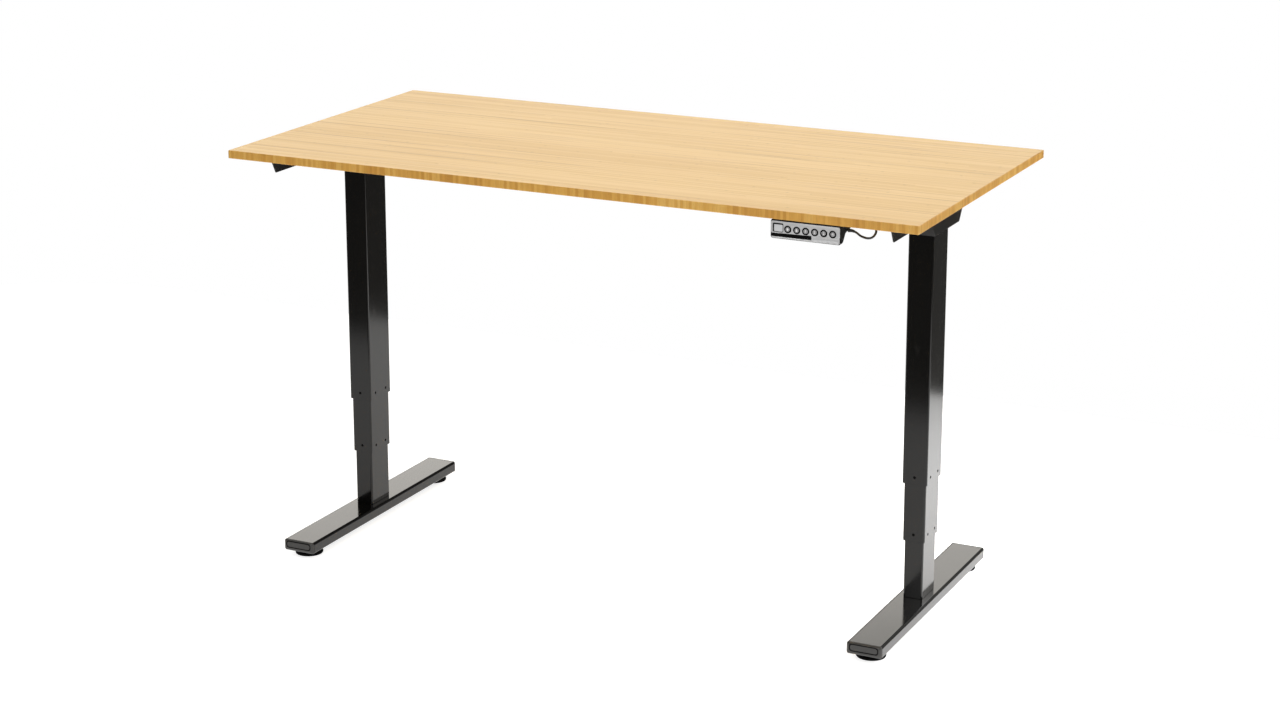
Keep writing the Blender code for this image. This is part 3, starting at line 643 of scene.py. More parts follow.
def driveLoop(kind, size, steps=24):
    points = []
    for k in range(steps):
        angle = (k + 0.5) * math.tau / steps
        if kind == "cross":
            fromArm = abs((angle + math.pi / 4) % (math.pi / 2) - math.pi / 4)
            reach = size if fromArm < 0.2 else size * (0.32 if fromArm < 0.5 else 0.25)
        else:
            reach = size / math.cos((angle % (math.pi / 3)) - math.pi / 6)
        points.append((reach * math.cos(angle), reach * math.sin(angle)))
    return points


def fastener(name, look, kind, steps=24):
    radius, height, drive = look["radius"], look["height"], look["drive"]
    rows = [(circle(share * radius, steps, math.pi / steps), rise * height)
            for share, rise in headProfile]
    rows += [(driveLoop(kind, drive), height),
             (driveLoop(kind, drive * driveTaper), height - look["recess"])]
    return skinned(name, [laidOut(loop, (0, 0, 0), "z", z) for loop, z in rows], [])


def studShape():
    # flush plug of a guide, a little proud with a shallow dish
    shape = bmesh.new()
    lathe(shape, [(0.0, -0.0006), (0.0030, -0.0006), (0.0030, 0.00012), (0.0028, 0.0002),
                  (0.0016, 0.0002), (0.0011, 0.00005), (0.0, 0.00005)], (0, 0, 0), "z", 24)
    return finishPiece("studShape", shape, [])


def clipShape():
    # saddle over a cable of unit radius at z = 0, with tabs on the board below
    base, tab, reach, step, wall, bore = -1.2, -0.75, 4.6, 1.8, 1.45, 1.12
    arc = [k * math.pi / 8 for k in range(9)]
    rings = []
    for y, grow in ((-1.25, -0.06), (-1.15, 0.0), (1.15, 0.0), (1.25, -0.06)):
        top, radius = tab + grow, wall + grow
        outline = [(-reach, base), (-reach, top), (-step, top)]
        outline += [(-radius * math.cos(a), radius * math.sin(a)) for a in arc]
        outline += [(step, top), (reach, top), (reach, base), (bore, base)]
        outline += [(bore * math.cos(a), bore * math.sin(a)) for a in arc]
        outline += [(-bore, base)]
        rings.append([(x, y, z) for x, z in outline])
    return skinned("clipShape", rings, [])


panScrew = fastener("panScrew", screwLook, "cross")
socketBolt = fastener("socketBolt", boltLook, "hex")
guideStud = studShape()
cableClip = clipShape()
print("node trees and small shapes made")


topLook = {"edgeRadius": 0.0016, "cornerRadius": 0.0030, "edgeSteps": 4, "cornerSteps": 6}


def makeTabletop():
    low, high, middle, size = spanOf("tabletop")
    look = topLook
    profile = quarterRound(look["edgeRadius"], look["edgeSteps"])
    stack = [(inset, low.z + rise) for inset, rise in profile]
    stack += [(inset, high.z - rise) for inset, rise in reversed(profile)]
    rings = [insetRing(size, inset, look["cornerRadius"] - inset * 0.5, look["cornerSteps"],
                       middle, "z", z) for inset, z in stack]
    shape = bmesh.new()
    for face in skin(shape, rings)[-2:]:
        face.material_index = 1
    piece = finishPiece("bambooBoard", shape, [bambooEdge, bambooTop])
    fit(evenShading(piece), "top", "bamboo", "tabletop")


makeTabletop()
print("tabletop made")


tubeLook = {"corner": 0.0040, "wall": 0.0015, "rim": 0.0004, "steps": 7}
footLook = {"corner": 0.0046, "wall": 0.0020, "rim": 0.0003, "steps": 7}
railLook = {"corner": 0.0040, "wall": 0.0020, "rim": 0.0004, "steps": 7}
studLook = {"side": 0.0135, "sideReach": 0.248, "front": 0.0150}
leastCorner = 0.0008
stages = (("outer", "top"), ("middle", "{}_middle"), ("inner", "base"))


def squareTube(name, low, high, axis, look, *finishes):
    # a hollow tube; a second finish, painted dark reflection, goes on its two upper bends
    middle, size = (low + high) / 2, high - low
    start, stop = (corner["xyz".index(axis)] for corner in (low, high))
    rim, wall, steps = look["rim"], look["wall"], look["steps"]
    rows = [(0.0, start + rim), (0.0, stop - rim), (rim, stop), (wall - rim, stop),
            (wall, stop - rim), (wall, start + rim), (wall - rim, start), (rim, start)]
    rings = [insetRing(size, inset, max(look["corner"] - inset, leastCorner), steps, middle,
                       axis, place) for inset, place in rows]
    shape = bmesh.new()
    made = skin(shape, rings, closed=True)
    if len(finishes) > 1:
        for corner in (0, steps + 1):
            for face in made[corner + 1:corner + steps]:
                face.material_index = 1
    return evenShading(finishPiece(name, shape, finishes))


def studSpots(node):
    # two plugs on each wide side and one on each narrow side, near the lower end
    low, high, middle, size = spanOf(node)
    reach = size.y * studLook["sideReach"]
    side, front = low.z + studLook["side"], low.z + studLook["front"]
    spots = [((x, middle.y + y, side), (out, 0, 0), (0, 0, 1))
             for x, out in ((low.x, -1), (high.x, 1)) for y in (-reach, reach)]
    return spots + [((middle.x, y, front), (0, out, 0), (0, 0, 1))
                    for y, out in ((low.y, -1), (high.y, 1))]


def makeColumns():
    for side in sides:
        for stage, carrier in stages:
            node, name, body = f"{side}_{stage}_tube", side + stage.title(), carrier.format(side)
            low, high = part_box(node)
            tube = squareTube(name + "Column", low, high, "z", tubeLook, blackSteel)
            fit(tube, body, "black_steel", node)
            if stage != "inner":
                scattered(name + "Studs", studSpots(node), guideStud, studPlastic, body,
                          "black_plastic")


makeColumns()
print("columns made")


# a cap's rings: reach past its flange, insets at its sides, top and bottom, corner radius
capLook = {
    "depth": 0.0032, "gap": 0.0002, "bolt": (0.019, 0.027), "paintedShadeRows": (0, 1, 2, 8, 9, 10),
    "rings": [(0.0006, 0.0007, 0.0007, 0.0007, 0.0032), (0.0009, 0.0, 0.0, 0.0, 0.0036),
              (0.0024, 0.0004, 0.0002, 0.0006, 0.0040), (0.0040, 0.0016, 0.0005, 0.0018, 0.0048),
              (0.0052, 0.0034, 0.0010, 0.0036, 0.0056), (0.0058, 0.0054, 0.0016, 0.0056, 0.0060),
              (0.0060, 0.0062, 0.0021, 0.0072, 0.0060), (0.0044, 0.0066, 0.0024, 0.0076, 0.0058),
              (0.0044, 0.0080, 0.0036, 0.0090, 0.0050), (0.0060, 0.0084, 0.0040, 0.0094, 0.0048),
              (0.0062, 0.0092, 0.0048, 0.0102, 0.0042)]}


def makeFeet():
    for side in sides:
        node = side + "_foot"
        low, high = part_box(node)
        inset = Vector((0.0, capLook["depth"], 0.0))
        # its upper bends take the painted dark reflection
        beam = squareTube(side + "FootBeam", low + inset, high - inset, "y", footLook,
                          blackSteel, paintedShadeBlack)
        fit(beam, "base", "black_steel", node)
        middle = spanOf(side + "_inner_tube")[2]
        x, y = capLook["bolt"]
        spots = [((middle.x + sx * x, middle.y + sy * y, low.z), down, across)
                 for sx in (-1, 1) for sy in (-1, 1)]
        scattered(side + "FootBolts", spots, socketBolt, boltSteel, "base", "black_steel",
                  0.9, 3.0, 4)
        for end in ends:
            makeCap(side, end)
            makeGlide(side, end)


def makeCap(side, end):
    # flange with rounded corners, a raised panel on its face and a softer lower lip
    low, high, middle, size = spanOf(side + "_foot")
    out, edge = (-1, low.y) if end == "front" else (1, high.y)
    start = edge - out * capLook["depth"]
    wall = footLook["wall"] + capLook["gap"]
    inside = wall + 2 * capLook["gap"]
    rings = []
    for reach, aside, over, under, radius in [(-0.010, inside, inside, inside, 0.001),
                                              (0.0, wall, wall, wall, 0.0014),
                                              *capLook["rings"]]:
        centre = middle + Vector((0, 0, (under - over) / 2))
        loop = roundedLoop(size.x - 2 * aside, size.z - over - under, radius, 6)
        rings.append(laidOut(loop, centre, "y", start + out * reach))
    shape = bmesh.new()
    made = skin(shape, rings)
    # the rows in the seam at the beam and in the groove get painted shade
    count = len(rings[0])
    for row in capLook["paintedShadeRows"]:
        for face in made[row * count:(row + 1) * count]:
            face.material_index = 1
    piece = finishPiece(f"{side}{end.title()}Cap", shape, [capPlastic, paintedShadeBlack], 50.0)
    fit(evenShading(piece), "base", "black_plastic", f"{side}_{end}_foot_cap")


# a pad's outline from its underside round to the socket of its stem: radius, height
glideLook = {"profile": [(0.0, 0.0010), (0.0215, 0.0010), (0.0225, 0.0), (0.0280, 0.0),
                         (0.0294, 0.0005), (0.0300, 0.0016), (0.0300, 0.0040), (0.0296, 0.0050),
                         (0.0286, 0.0058), (0.0268, 0.0066), (0.0262, 0.0064), (0.0252, 0.0072),
                         (0.0140, 0.0116), (0.0122, 0.0123), (0.0116, 0.0125), (0.0045, 0.0125),
                         (0.0043, 0.0122), (0.0043, 0.0076), (0.0, 0.0076)],
             "steps": 64, "ridge": 0.0006, "pitch": 0.00125, "endGap": 0.0003}


def makeGlide(side, end):
    look, name, node = glideLook, side + end.title(), f"{side}_{end}"
    shape = bmesh.new()
    lathe(shape, look["profile"], spanOf(node + "_glide_pad")[2], "z", look["steps"])
    pad = finishPiece(name + "Pad", shape, [padRubber], 32.0)
    fit(evenShading(pad), node + "_pad", "pad_rubber", node + "_glide_pad")
    low, high, middle, size = spanOf(node + "_glide_stem")
    values = {"Radius": size.x / 2, "Pitch": look["pitch"], "Ridge": look["ridge"],
              "Length": size.z - 2 * look["endGap"], "Finish": screwSteel,
              "Place": (middle.x, middle.y, low.z + look["endGap"])}
    stem = grown(name + "Stem", bpy.data.meshes.new("stemSeed"), threadedStem, values)
    fit(stem, node + "_stem", "screw_steel", node + "_glide_stem")


makeFeet()
print("feet made")


headLook = {"wall": 0.0025, "fold": 0.0011, "slopeRun": 0.025, "slopeRise": 0.0365,
            "boltInset": 0.016, "lowerBolt": (0.060, 0.022), "boltSize": 0.62}
bracketLook = {"thickness": 0.003, "fold": 0.0042, "taper": 0.017, "foldSteps": 6,
               "edge": 0.0005, "screws": (0.105, 0.195, 0.290), "innerScrew": 0.011,
               "outerScrew": 0.020}
# a rail plug's rings: reach past the rail's end, inset, corner radius
plugLook = {"gap": 0.0002, "bolts": (0.012, 0.038), "boltSize": 0.95,
            "rings": [(0.0, 0.0004, 0.0036), (0.0016, 0.0004, 0.0036), (0.0022, 0.0012, 0.0030),
                      (0.0022, 0.0040, 0.0024), (0.0016, 0.0046, 0.0020)]}


def makeHead(side):
    # folded box, open under the bracket plate
    low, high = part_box(side + "_frame_head")
    look = headLook
    run, rise = look["slopeRun"], look["slopeRise"]
    outline = [(low.y, high.z), (low.y, low.z + rise), (low.y + run, low.z),
               (high.y - run, low.z), (high.y, low.z + rise), (high.y, high.z)]
    shape = bmesh.new()
    rows = [[shape.verts.new((x, y, z)) for y, z in outline] for x in (low.x, high.x)]
    for k in range(len(outline) - 1):
        shape.faces.new((rows[0][k], rows[0][k + 1], rows[1][k + 1], rows[1][k]))
    shape.faces.new(rows[0])
    shape.faces.new(list(reversed(rows[1])))
    bmesh.ops.recalc_face_normals(shape, faces=shape.faces)
    if shape.faces[0].normal.y > 0:
        bmesh.ops.reverse_faces(shape, faces=shape.faces)
    mesh = bpy.data.meshes.new(side + "Head")
    shape.to_mesh(mesh)
    shape.free()
    mesh.materials.append(blackBracket)
    mesh.shade_smooth()
    piece = placed(side + "Head", mesh)
    walls = piece.modifiers.new("walls", "SOLIDIFY")
    walls.thickness = look["wall"]
    walls.offset = -1.0
    walls.use_even_offset = True
    soften(piece, look["fold"], 3)
    fit(piece, "top", "black_steel", side + "_frame_head")
    inset, up = look["boltInset"], (0, 0, 1)
    back, drop = look["lowerBolt"]
    places = [(low.y + inset, inset), (high.y - inset, inset), (high.y - back, drop)]
    spots = [((x, y, high.z - under), (out, 0, 0), up)
             for x, out in ((low.x, -1), (high.x, 1)) for y, under in places]
    scattered(side + "HeadBolts", spots, socketBolt, boltSteel, "top", "black_steel",
              look["boltSize"], 3.0, 7)


def makeBracket(side):
    low, high, middle, size = spanOf(side + "_side_bracket")
    look = bracketLook
    out, edge, inner = (-1, low.x, high.x) if side == "left" else (1, high.x, low.x)
    t, fold, taper = look["thickness"], look["fold"], look["taper"]
    under = high.z - t
    outside = [(inner, high.z), (edge - out * fold, high.z)]
    inside = [(inner, under), (edge - out * fold, under)]
    for step in range(1, look["foldSteps"] + 1):
        angle = step / look["foldSteps"] * math.pi / 2
        for path, radius in ((outside, fold), (inside, fold - t)):
            path.append((edge - out * (fold - radius * math.sin(angle)),
                         high.z - fold + radius * math.cos(angle)))
    outside.append((edge, low.z))
    inside.append((edge - out * t, low.z))
    # both ends slope inwards towards the lower edge
    rings = []
    for tip, inward in ((low.y, 1), (high.y, -1)):
        slopes = [(x, max(0.0, (under - z) / (under - low.z)), z)
                  for x, z in outside + inside[::-1]]
        rings.append([(x, tip + inward * taper * share, z) for x, share, z in slopes])
    shape = bmesh.new()
    skin(shape, rings, caps=False)
    shape.verts.ensure_lookup_table()
    count = len(rings[0])
    for row in (shape.verts[:count], shape.verts[count:]):
        for k in range(len(outside) - 1):
            shape.faces.new((row[k], row[k + 1], row[count - 2 - k], row[count - 1 - k]))
    piece = soften(finishPiece(side + "Bracket", shape, [blackBracket], 30.0), look["edge"])
    fit(piece, "top", "black_steel", side + "_side_bracket")
    columns = (inner + out * look["innerScrew"], edge - out * look["outerScrew"])
    spots = [((x, middle.y + sign * reach, under), down, across)
             for reach in look["screws"] for sign in (-1, 1) for x in columns]
    scattered(side + "BracketScrews", spots, panScrew, boltSteel, "top", "screw_steel",
              1.0, 3.0, 11)


def makeRail(end):
    low, high, middle, size = spanOf(end + "_rail")
    look = plugLook
    beam = squareTube(end + "Beam", low, high, "x", railLook, blackBracket)
    fit(beam, "top", "black_steel", end + "_rail")
    wall = railLook["wall"] + look["gap"]
    shape = bmesh.new()
    spots = []
    for place, out in ((low.x, -1), (high.x, 1)):
        rows = [(-0.010, wall + 0.0003, 0.0010), (0.0, wall, 0.0014), *look["rings"]]
        skin(shape, [insetRing(size, inset, radius, 5, middle, "x", place + out * reach)
                     for reach, inset, radius in rows])
        spots += [((place - out * reach, middle.y, low.z), down, across)
                  for reach in look["bolts"]]
    plugs = finishPiece(end + "RailPlugs", shape, [blackPlastic], 40.0)
    fit(evenShading(plugs), "top", "black_plastic")
    scattered(end + "RailBolts", spots, socketBolt, boltSteel, "top", "black_steel",
              look["boltSize"], 3.0, 5)


for side in sides:
    makeHead(side)
    makeBracket(side)
for end in ends:
    makeRail(end)
print("frame made")


boxLook = {"corner": 0.0050, "edge": 0.0022, "taper": 0.0012, "ribs": 17, "ribPitch": 0.0090,
           "ribHalf": Vector((0.0021, 0.034, 0.0)), "ribDepths": (0.001, 0.0013),
           "lidSides": 0.0002, "lidDepths": (0.0065, 0.0052), "screwInset": (0.012, 0.011),
           "socketHalf": Vector((0.0060, 0.0075, 0.0060)), "socketReach": 0.0055}
plateLook = {"corner": 0.004, "edge": 0.0004, "ear": 0.013, "earHalf": 0.011, "earInset": 0.030,
             "earOverlap": 0.003, "earCorner": 0.006, "screwShare": 0.55}
# the inlet's rings: place from its front, inset, corner radius
inletLook = {"rings": [(0.0012, 0.0, 0.0032), (0.0, 0.0008, 0.0026), (0.0, 0.0026, 0.0020),
                       (0.0008, 0.0030, 0.0018)],
             "rear": (0.0006, 0.0030), "floor": (0.0040, 0.0034, 0.0016), "bladeBack": 0.0085,
             "blades": ((-0.0070, -0.0018), (0.0, 0.0022), (0.0070, -0.0018)),
             "bladeHalf": Vector((0.0062, 0.0010, 0.0020))}


def roundedBlock(shape, low, high, corner, edge, steps=4, taper=0.0):
    # upright block with rounded corners and edges, narrower below by the taper
    middle, size = (low + high) / 2, high - low
    profile = quarterRound(edge, steps)
    stack = [(inset + taper, low.z + rise) for inset, rise in profile]
    stack += [(inset, high.z - rise) for inset, rise in reversed(profile)]
    return skin(shape, [insetRing(size, inset, max(corner - inset, 0.0006), 5, middle, "z", z)
                        for inset, z in stack])


def ribShape():
    half, (sunk, proud) = boxLook["ribHalf"], boxLook["ribDepths"]
    shape = bmesh.new()
    roundedBlock(shape, -half - Vector((0, 0, sunk)), half + Vector((0, 0, proud)), 0.0020,
                 0.0008, 3)
    return finishPiece("ribShape", shape, [])


def makeControlBox():
    low, high, middle, size = spanOf("control_box")
    look = boxLook
    shape = bmesh.new()
    roundedBlock(shape, low, high, look["corner"], look["edge"], 4, look["taper"])
    side, (lidLow, lidHigh) = look["lidSides"], look["lidDepths"]
    roundedBlock(shape, Vector((low.x + side, low.y + side, high.z - lidLow)),
                 Vector((high.x - side, high.y - side, high.z - lidHigh)), look["corner"],
                 0.0004, 2)
    piece = finishPiece("controlCase", shape, [blackPlastic], 40.0)
    fit(evenShading(piece), "top", "black_plastic", "control_box")
    first = middle.x - (look["ribs"] - 1) / 2 * look["ribPitch"]
    spots = [((first + k * look["ribPitch"], middle.y, low.z + 0.0004), down, across)
             for k in range(look["ribs"])]
    rib = ribShape()
    scattered("controlRibs", spots, rib, blackPlastic, "top", "black_plastic")
    bpy.data.objects.remove(rib)
    x, y = look["screwInset"]
    corners = [((px, py, low.z + 0.0002), down, across)
               for px in (low.x + x, high.x - x) for py in (low.y + y, high.y - y)]
    scattered("controlScrews", corners, panScrew, boltSteel, "top", "screw_steel", 0.7, 3.0, 13)
    # sockets that the leads plug into
    shape = bmesh.new()
    for place, node, out in ((high.x, "handset_lead", 1), (high.x, "right_motor_lead", 1),
                             (low.x, "left_motor_lead", -1)):
        centre = Vector((place + out * look["socketReach"], *leadEntries[node]))
        half = look["socketHalf"]
        roundedBlock(shape, centre - half, centre + half, 0.0020, 0.0010, 3)
    sockets = finishPiece("leadPlugs", shape, [blackPlastic], 40.0)
    fit(evenShading(sockets), "top", "black_plastic")


def makePlate():
    # plate with four ears, each with its screw
    low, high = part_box("control_box_plate")
    look = plateLook
    shape = bmesh.new()
    roundedBlock(shape, low, high, look["corner"], look["edge"], 2)
    spots = []
    for x in (low.x + look["earInset"], high.x - look["earInset"]):
        for y, out in ((low.y, -1), (high.y, 1)):
            near, far = sorted((y, y + out * look["ear"]))
            roundedBlock(shape, Vector((x - look["earHalf"], near - look["earOverlap"], low.z)),
                         Vector((x + look["earHalf"], far + look["earOverlap"], high.z)),
                         look["earCorner"], look["edge"], 2)
            spots.append(((x, y + out * look["ear"] * look["screwShare"], low.z), down, across))
    piece = finishPiece("controlPlate", shape, [blackBracket], 40.0)
    fit(evenShading(piece), "top", "black_steel", "control_box_plate")
    scattered("plateScrews", spots, panScrew, boltSteel, "top", "screw_steel", 1.0, 3.0, 17)


def makeInlet():
    # shroud with a recess and three blades
    low, high, middle, size = spanOf("power_inlet")
    look = inletLook
    depth, floorInset, floorRadius = look["floor"]
    rows = [(high.x, *look["rear"])]
    rows += [(low.x + place, inset, radius) for place, inset, radius in look["rings"]]
    rows.append((high.x - depth, floorInset, floorRadius))
    piece = skinned("mainsInlet", [insetRing(size, inset, radius, 6, middle, "x", x)
                                   for x, inset, radius in rows], [blackPlastic], 40.0)
    fit(evenShading(piece), "top", "black_plastic", "power_inlet")
    shape = bmesh.new()
    for y, z in look["blades"]:
        centre = Vector((high.x - look["bladeBack"], middle.y + y, middle.z + z))
        half = look["bladeHalf"]
        roundedBlock(shape, centre - half, centre + half, 0.0006, 0.0004, 2)
    fit(finishPiece("inletBlades", shape, [screwSteel], 40.0), "top", "screw_steel")


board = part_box("tabletop")
underside = board[0].z
leadLook = {"handsetRadius": 0.0022, "motorRadius": 0.0028, "gap": 0.0003, "entryDrop": 0.0130,
            "handsetEntry": -0.0200, "motorEntry": 0.0250, "step": 0.004, "sides": 16,
            "sleeve": 0.0135, "ridgeEvery": 0.0009, "ridge": 0.00035, "sleeveWall": 0.0016,
            "sleeveTaper": 0.09, "clipSlack": 0.0008}
control = spanOf("control_box")
alongHandset = underside - leadLook["handsetRadius"] - 3 * leadLook["gap"]
alongMotor = underside - leadLook["motorRadius"] - 3 * leadLook["gap"]
motorEntry = (control[2].y + leadLook["motorEntry"], alongMotor - leadLook["entryDrop"])
leadEntries = {"handset_lead": (control[2].y + leadLook["handsetEntry"],
                                alongHandset - leadLook["entryDrop"]),
               "left_motor_lead": motorEntry, "right_motor_lead": motorEntry}
makeControlBox()
makePlate()
makeInlet()
print("control box made")


def handsetRoute():
    # out of the handset in a low loop, up and back under the front rail to the control box
    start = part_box("handset_housing")[1].x + leadLook["gap"]
    front = board[0].y
    railLow, _, rail, _ = spanOf("front_rail")
    beneath = railLow.z - leadLook["handsetRadius"] - 2 * leadLook["gap"]
    entry = control[1].x + leadLook["gap"]
    y, z = leadEntries["handset_lead"]
    loop = [(0.0, 0.0400, 0.0160), (0.008, 0.0400, 0.0160), (0.018, 0.0350, 0.0175),
            (0.032, 0.0240, 0.0205), (0.048, 0.0180, 0.0215), (0.0565, 0.0240, 0.0185),
            (0.054, 0.0440, 0.0115), (0.032, 0.0740, 0.0085)]
    points = [(start + x, front + back, underside - drop) for x, back, drop in loop]
    points.append((start - 0.020, front + 0.1200, alongHandset - 0.0020))
    # down the front of the rail, under it and up behind it
    passing = [(0.100, -0.0850, alongHandset), (0.145, -0.0600, alongHandset - 0.0040),
               (0.165, -0.0380, beneath + 0.0140), (0.174, -0.0250, beneath - 0.0005),
               (0.183, 0.0, beneath - 0.0020), (0.192, 0.0250, beneath - 0.0005),
               (0.200, 0.0380, beneath + 0.0140), (0.225, 0.0550, alongHandset - 0.0030)]
    points += [(start - x, rail.y + back, height) for x, back, height in passing]
    points.append((start - 0.300, y - 0.0100, alongHandset))
    return points + [(entry + 0.070, y - 0.0020, alongHandset - 0.0040),
                     (entry + 0.025, y - 0.0005, alongHandset - 0.0125),
                     (entry + 0.010, y, z), (entry, y, z)]


def motorRoute(side):
    # out of the frame head, up to the board and along it to the control box
    out = -1 if side == "left" else 1
    start = min(abs(corner.x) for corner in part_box(side + "_frame_head")) - leadLook["gap"]
    entry = control[1].x + leadLook["gap"]
    y, z = leadEntries[side + "_motor_lead"]
    points = [(start, y, underside - 0.0200), (start - 0.010, y, underside - 0.0200),
              (start - 0.060, y + 0.002, alongMotor - 0.0030),
              (start - 0.110, y + 0.003, alongMotor), (start - 0.250, y + 0.004, alongMotor),
              (entry + 0.080, y + 0.002, alongMotor - 0.0020), (entry + 0.010, y, z),
              (entry, y, z)]
    return [(out * px, py, pz) for px, py, pz in points]


def makeLead(name, node, points, radius):
    look = leadLook
    route = [Vector(points[0]), *smoothRoute(points[1:-1], look["step"]), Vector(points[-1])]
    shape = bmesh.new()
    tubeAlong(shape, route, radius, look["sides"])
    fit(finishPiece(name, shape, [leadBlack], 50.0), "top", "lead_black", node)
    # ribbed sleeves where the lead leaves and enters its housings
    shape = bmesh.new()
    for line in (route, route[::-1]):
        reach, stops, radii = 0.0, [], []
        for a, b in zip(line, line[1:]):
            parts = max(1, round((b - a).length / look["ridgeEvery"]))
            for part in range(parts):
                if reach < look["sleeve"]:
                    stops.append(a.lerp(b, part / parts))
                    ridge = look["ridge"] if int(reach / look["ridgeEvery"]) % 2 else 0.0
                    wall = look["sleeveWall"] - reach * look["sleeveTaper"] - ridge
                    radii.append(radius + wall)
                reach += (b - a).length / parts
        tubeAlong(shape, stops, radii, look["sides"])
    sleeves = finishPiece(name + "Sleeves", shape, [blackPlastic], 60.0)
    fit(sleeves, "top", "black_plastic")
    return route


def clipSpots(route, wanted, height):
    # saddles where the lead lies along the board, each moved on to the next place where it does
    spots = []
    for share in wanted:
        index = int(share * (len(route) - 1))
        while abs(route[index].z - height) > leadLook["clipSlack"]:
            index += 1
        along = (route[index + 1] - route[index]).normalized()
        place = Vector((route[index].x, route[index].y, height))
        spots.append((place, down, Vector(down).cross(along).normalized()))
    return spots


leads = [("handset", "Cable", "_lead", handsetRoute(), alongHandset, (0.27, 0.33, 0.70))]
leads += [(side, "MotorCable", "_motor_lead", motorRoute(side), alongMotor, (0.28, 0.52, 0.74))
          for side in sides]
for start, ending, nodeEnding, points, height, wanted in leads:
    radius = leadLook["handsetRadius" if start == "handset" else "motorRadius"]
    line = makeLead(start + ending, start + nodeEnding, points, radius)
    scattered(start + ending.replace("Cable", "Clips"), clipSpots(line, wanted, height),
              cableClip, blackPlastic, "top", "black_plastic", radius)
print("leads made")


keys = ("up", "down", "preset_1", "preset_2", "preset_3", "preset_4")
handsetLook = {
    "rim": 0.0022, "recess": 0.0036, "lip": 0.011, "slope": 0.028, "corner": 0.0046,
    "middleHeight": 0.0205, "backHeight": 0.0115, "screwInset": 0.020, "screwShare": 0.62,
    "screwRise": 0.0162, "backSlope": 0.196, "screwFacing": (0, -0.19, -0.98)}
# the strip share is how much of the panel's width the painted dark reflection under it takes
panelLook = {
    "topGap": 0.0016, "corner": 0.0030, "cornerSteps": 6, "edge": 0.00012,
    "stripLow": 0.0024, "stripHigh": 0.0112, "stripDip": 0.0016, "paintedReflectionShare": 0.590,
    "sideGap": 0.0006, "windowGap": 0.0003, "windowCorner": 0.0020, "keyGap": 0.0004,
    "holeSteps": 40, "lipTop": 0.0031, "lipMiddle": 0.0016, "lipRadius": 0.0015,
    "lipBottom": 0.0001, "lipBulge": 0.97, "lipSteps": 8, "lipLength": 12, "lipMitre": 0.90}
# rings of the window and of its dark surround: place from its front, inset, corner radius
displayLook = {
    "window": [(0.0002, 0.0, 0.0019), (0.0, 0.0003, 0.0017), (0.0, 0.0010, 0.0012),
               (0.0002, 0.0012, 0.0010)],
    "surround": [(0.0001, 0.0, 0.0019), (-0.0003, 0.0001, 0.0019), (-0.0003, -0.0009, 0.0026),
                 (0.0001, -0.0010, 0.0026)],
    "thickerLeft": 0.0016, "thickerTop": 0.0015, "cornerSteps": 5}
keyLook = {
    "front": 0.0001, "steps": 40, "rimGap": 0.0004, "rimWidth": 0.0029, "textSize": 0.0076,
    "textDepth": 0.0001, "textSunk": 0.00011, "arrowDepth": 0.00022, "arrowEdge": 0.00001,
    "arrowSunk": 0.00012,
    "arrow": [(0.0, 0.0030), (0.0028, 0.0), (0.0011, 0.0), (0.0011, -0.0027),
              (-0.0011, -0.0027), (-0.0011, 0.0), (-0.0028, 0.0)]}


def makeHousing():
    # front rim around a recess for the keys, the underside rising towards the back
    low, high, middle, size = spanOf("handset_housing")
    look = handsetLook
    rim, lip, slope, corner = look["rim"], look["lip"], look["slope"], look["corner"]
    middleRise, backRise = size.z - look["middleHeight"], size.z - look["backHeight"]
    # place from the front, inset, rise of the underside, corner radius
    rows = [(look["recess"], rim, 0.0, 0.0030), (0.0004, rim, 0.0, 0.0032),
            (0.0, rim - 0.0004, 0.0, 0.0034), (0.0, 0.0008, 0.0, 0.0040),
            (0.0003, 0.0002, 0.0, 0.0044), (0.0010, 0.0, 0.0, corner), (lip, 0.0, 0.0, corner),
            (lip + 0.003, 0.0, 0.0012, corner), (slope - 0.003, 0.0, middleRise - 0.0014, corner),
            (slope, 0.0, middleRise, corner), (size.y - 0.0020, 0.0, backRise - 0.0004, 0.0040),
            (size.y - 0.0006, 0.0006, backRise, 0.0036), (size.y, 0.0018, backRise, 0.0030)]
    rings = []
    for place, inset, rise, radius in rows:
        top, bottom = high.z - inset, low.z + rise + inset
        centre = Vector((middle.x, 0.0, (top + bottom) / 2))
        loop = roundedLoop(size.x - 2 * inset, top - bottom, radius, 6)
        rings.append(laidOut(loop, centre, "y", low.y + place))
    piece = skinned("handsetCase", rings, [caseBlack], 40.0)
    fit(evenShading(piece), "top", "black_plastic", "handset_housing")
    reach = size.y * look["screwShare"]
    under = low.z + look["screwRise"] + (reach - slope) * look["backSlope"]
    spots = [((x, low.y + reach, under), look["screwFacing"], across)
             for x in (low.x + look["screwInset"], high.x - look["screwInset"])]
    scattered("handsetScrews", spots, panScrew, boltSteel, "top", "screw_steel", 0.75, 3.0, 19)


def standing(name, drawing, finish, centre):
    # a flat drawing made a mesh and stood up to face the front
    shape = bmesh.new()
    shape.from_mesh(evaluatedMesh(bpy.data.objects.new(name + "Drawing", drawing)))
    for vertex in shape.verts:
        x, y, z = vertex.co
        vertex.co = (centre.x + x, centre.y - z, centre.z + y)
    return finishPiece(name, shape, [finish], 40.0)


def flatSheet(name, loops, thickness, edge, finish, centre):
    # an outline with holes, given a thickness and soft edges
    curve = bpy.data.curves.new(name, "CURVE")
    curve.dimensions = "2D"
    curve.fill_mode = "BOTH"
    curve.extrude = thickness / 2 - edge
    curve.bevel_depth = edge
    curve.bevel_resolution = 2
    curve.offset = -edge
    for loop in loops:
        spline = curve.splines.new("POLY")
        spline.points.add(len(loop) - 1)
        for point, (x, y) in zip(spline.points, loop):
            point.co = (x, y, 0.0, 1.0)
        spline.use_cyclic_u = True
    return standing(name, curve, finish, centre)


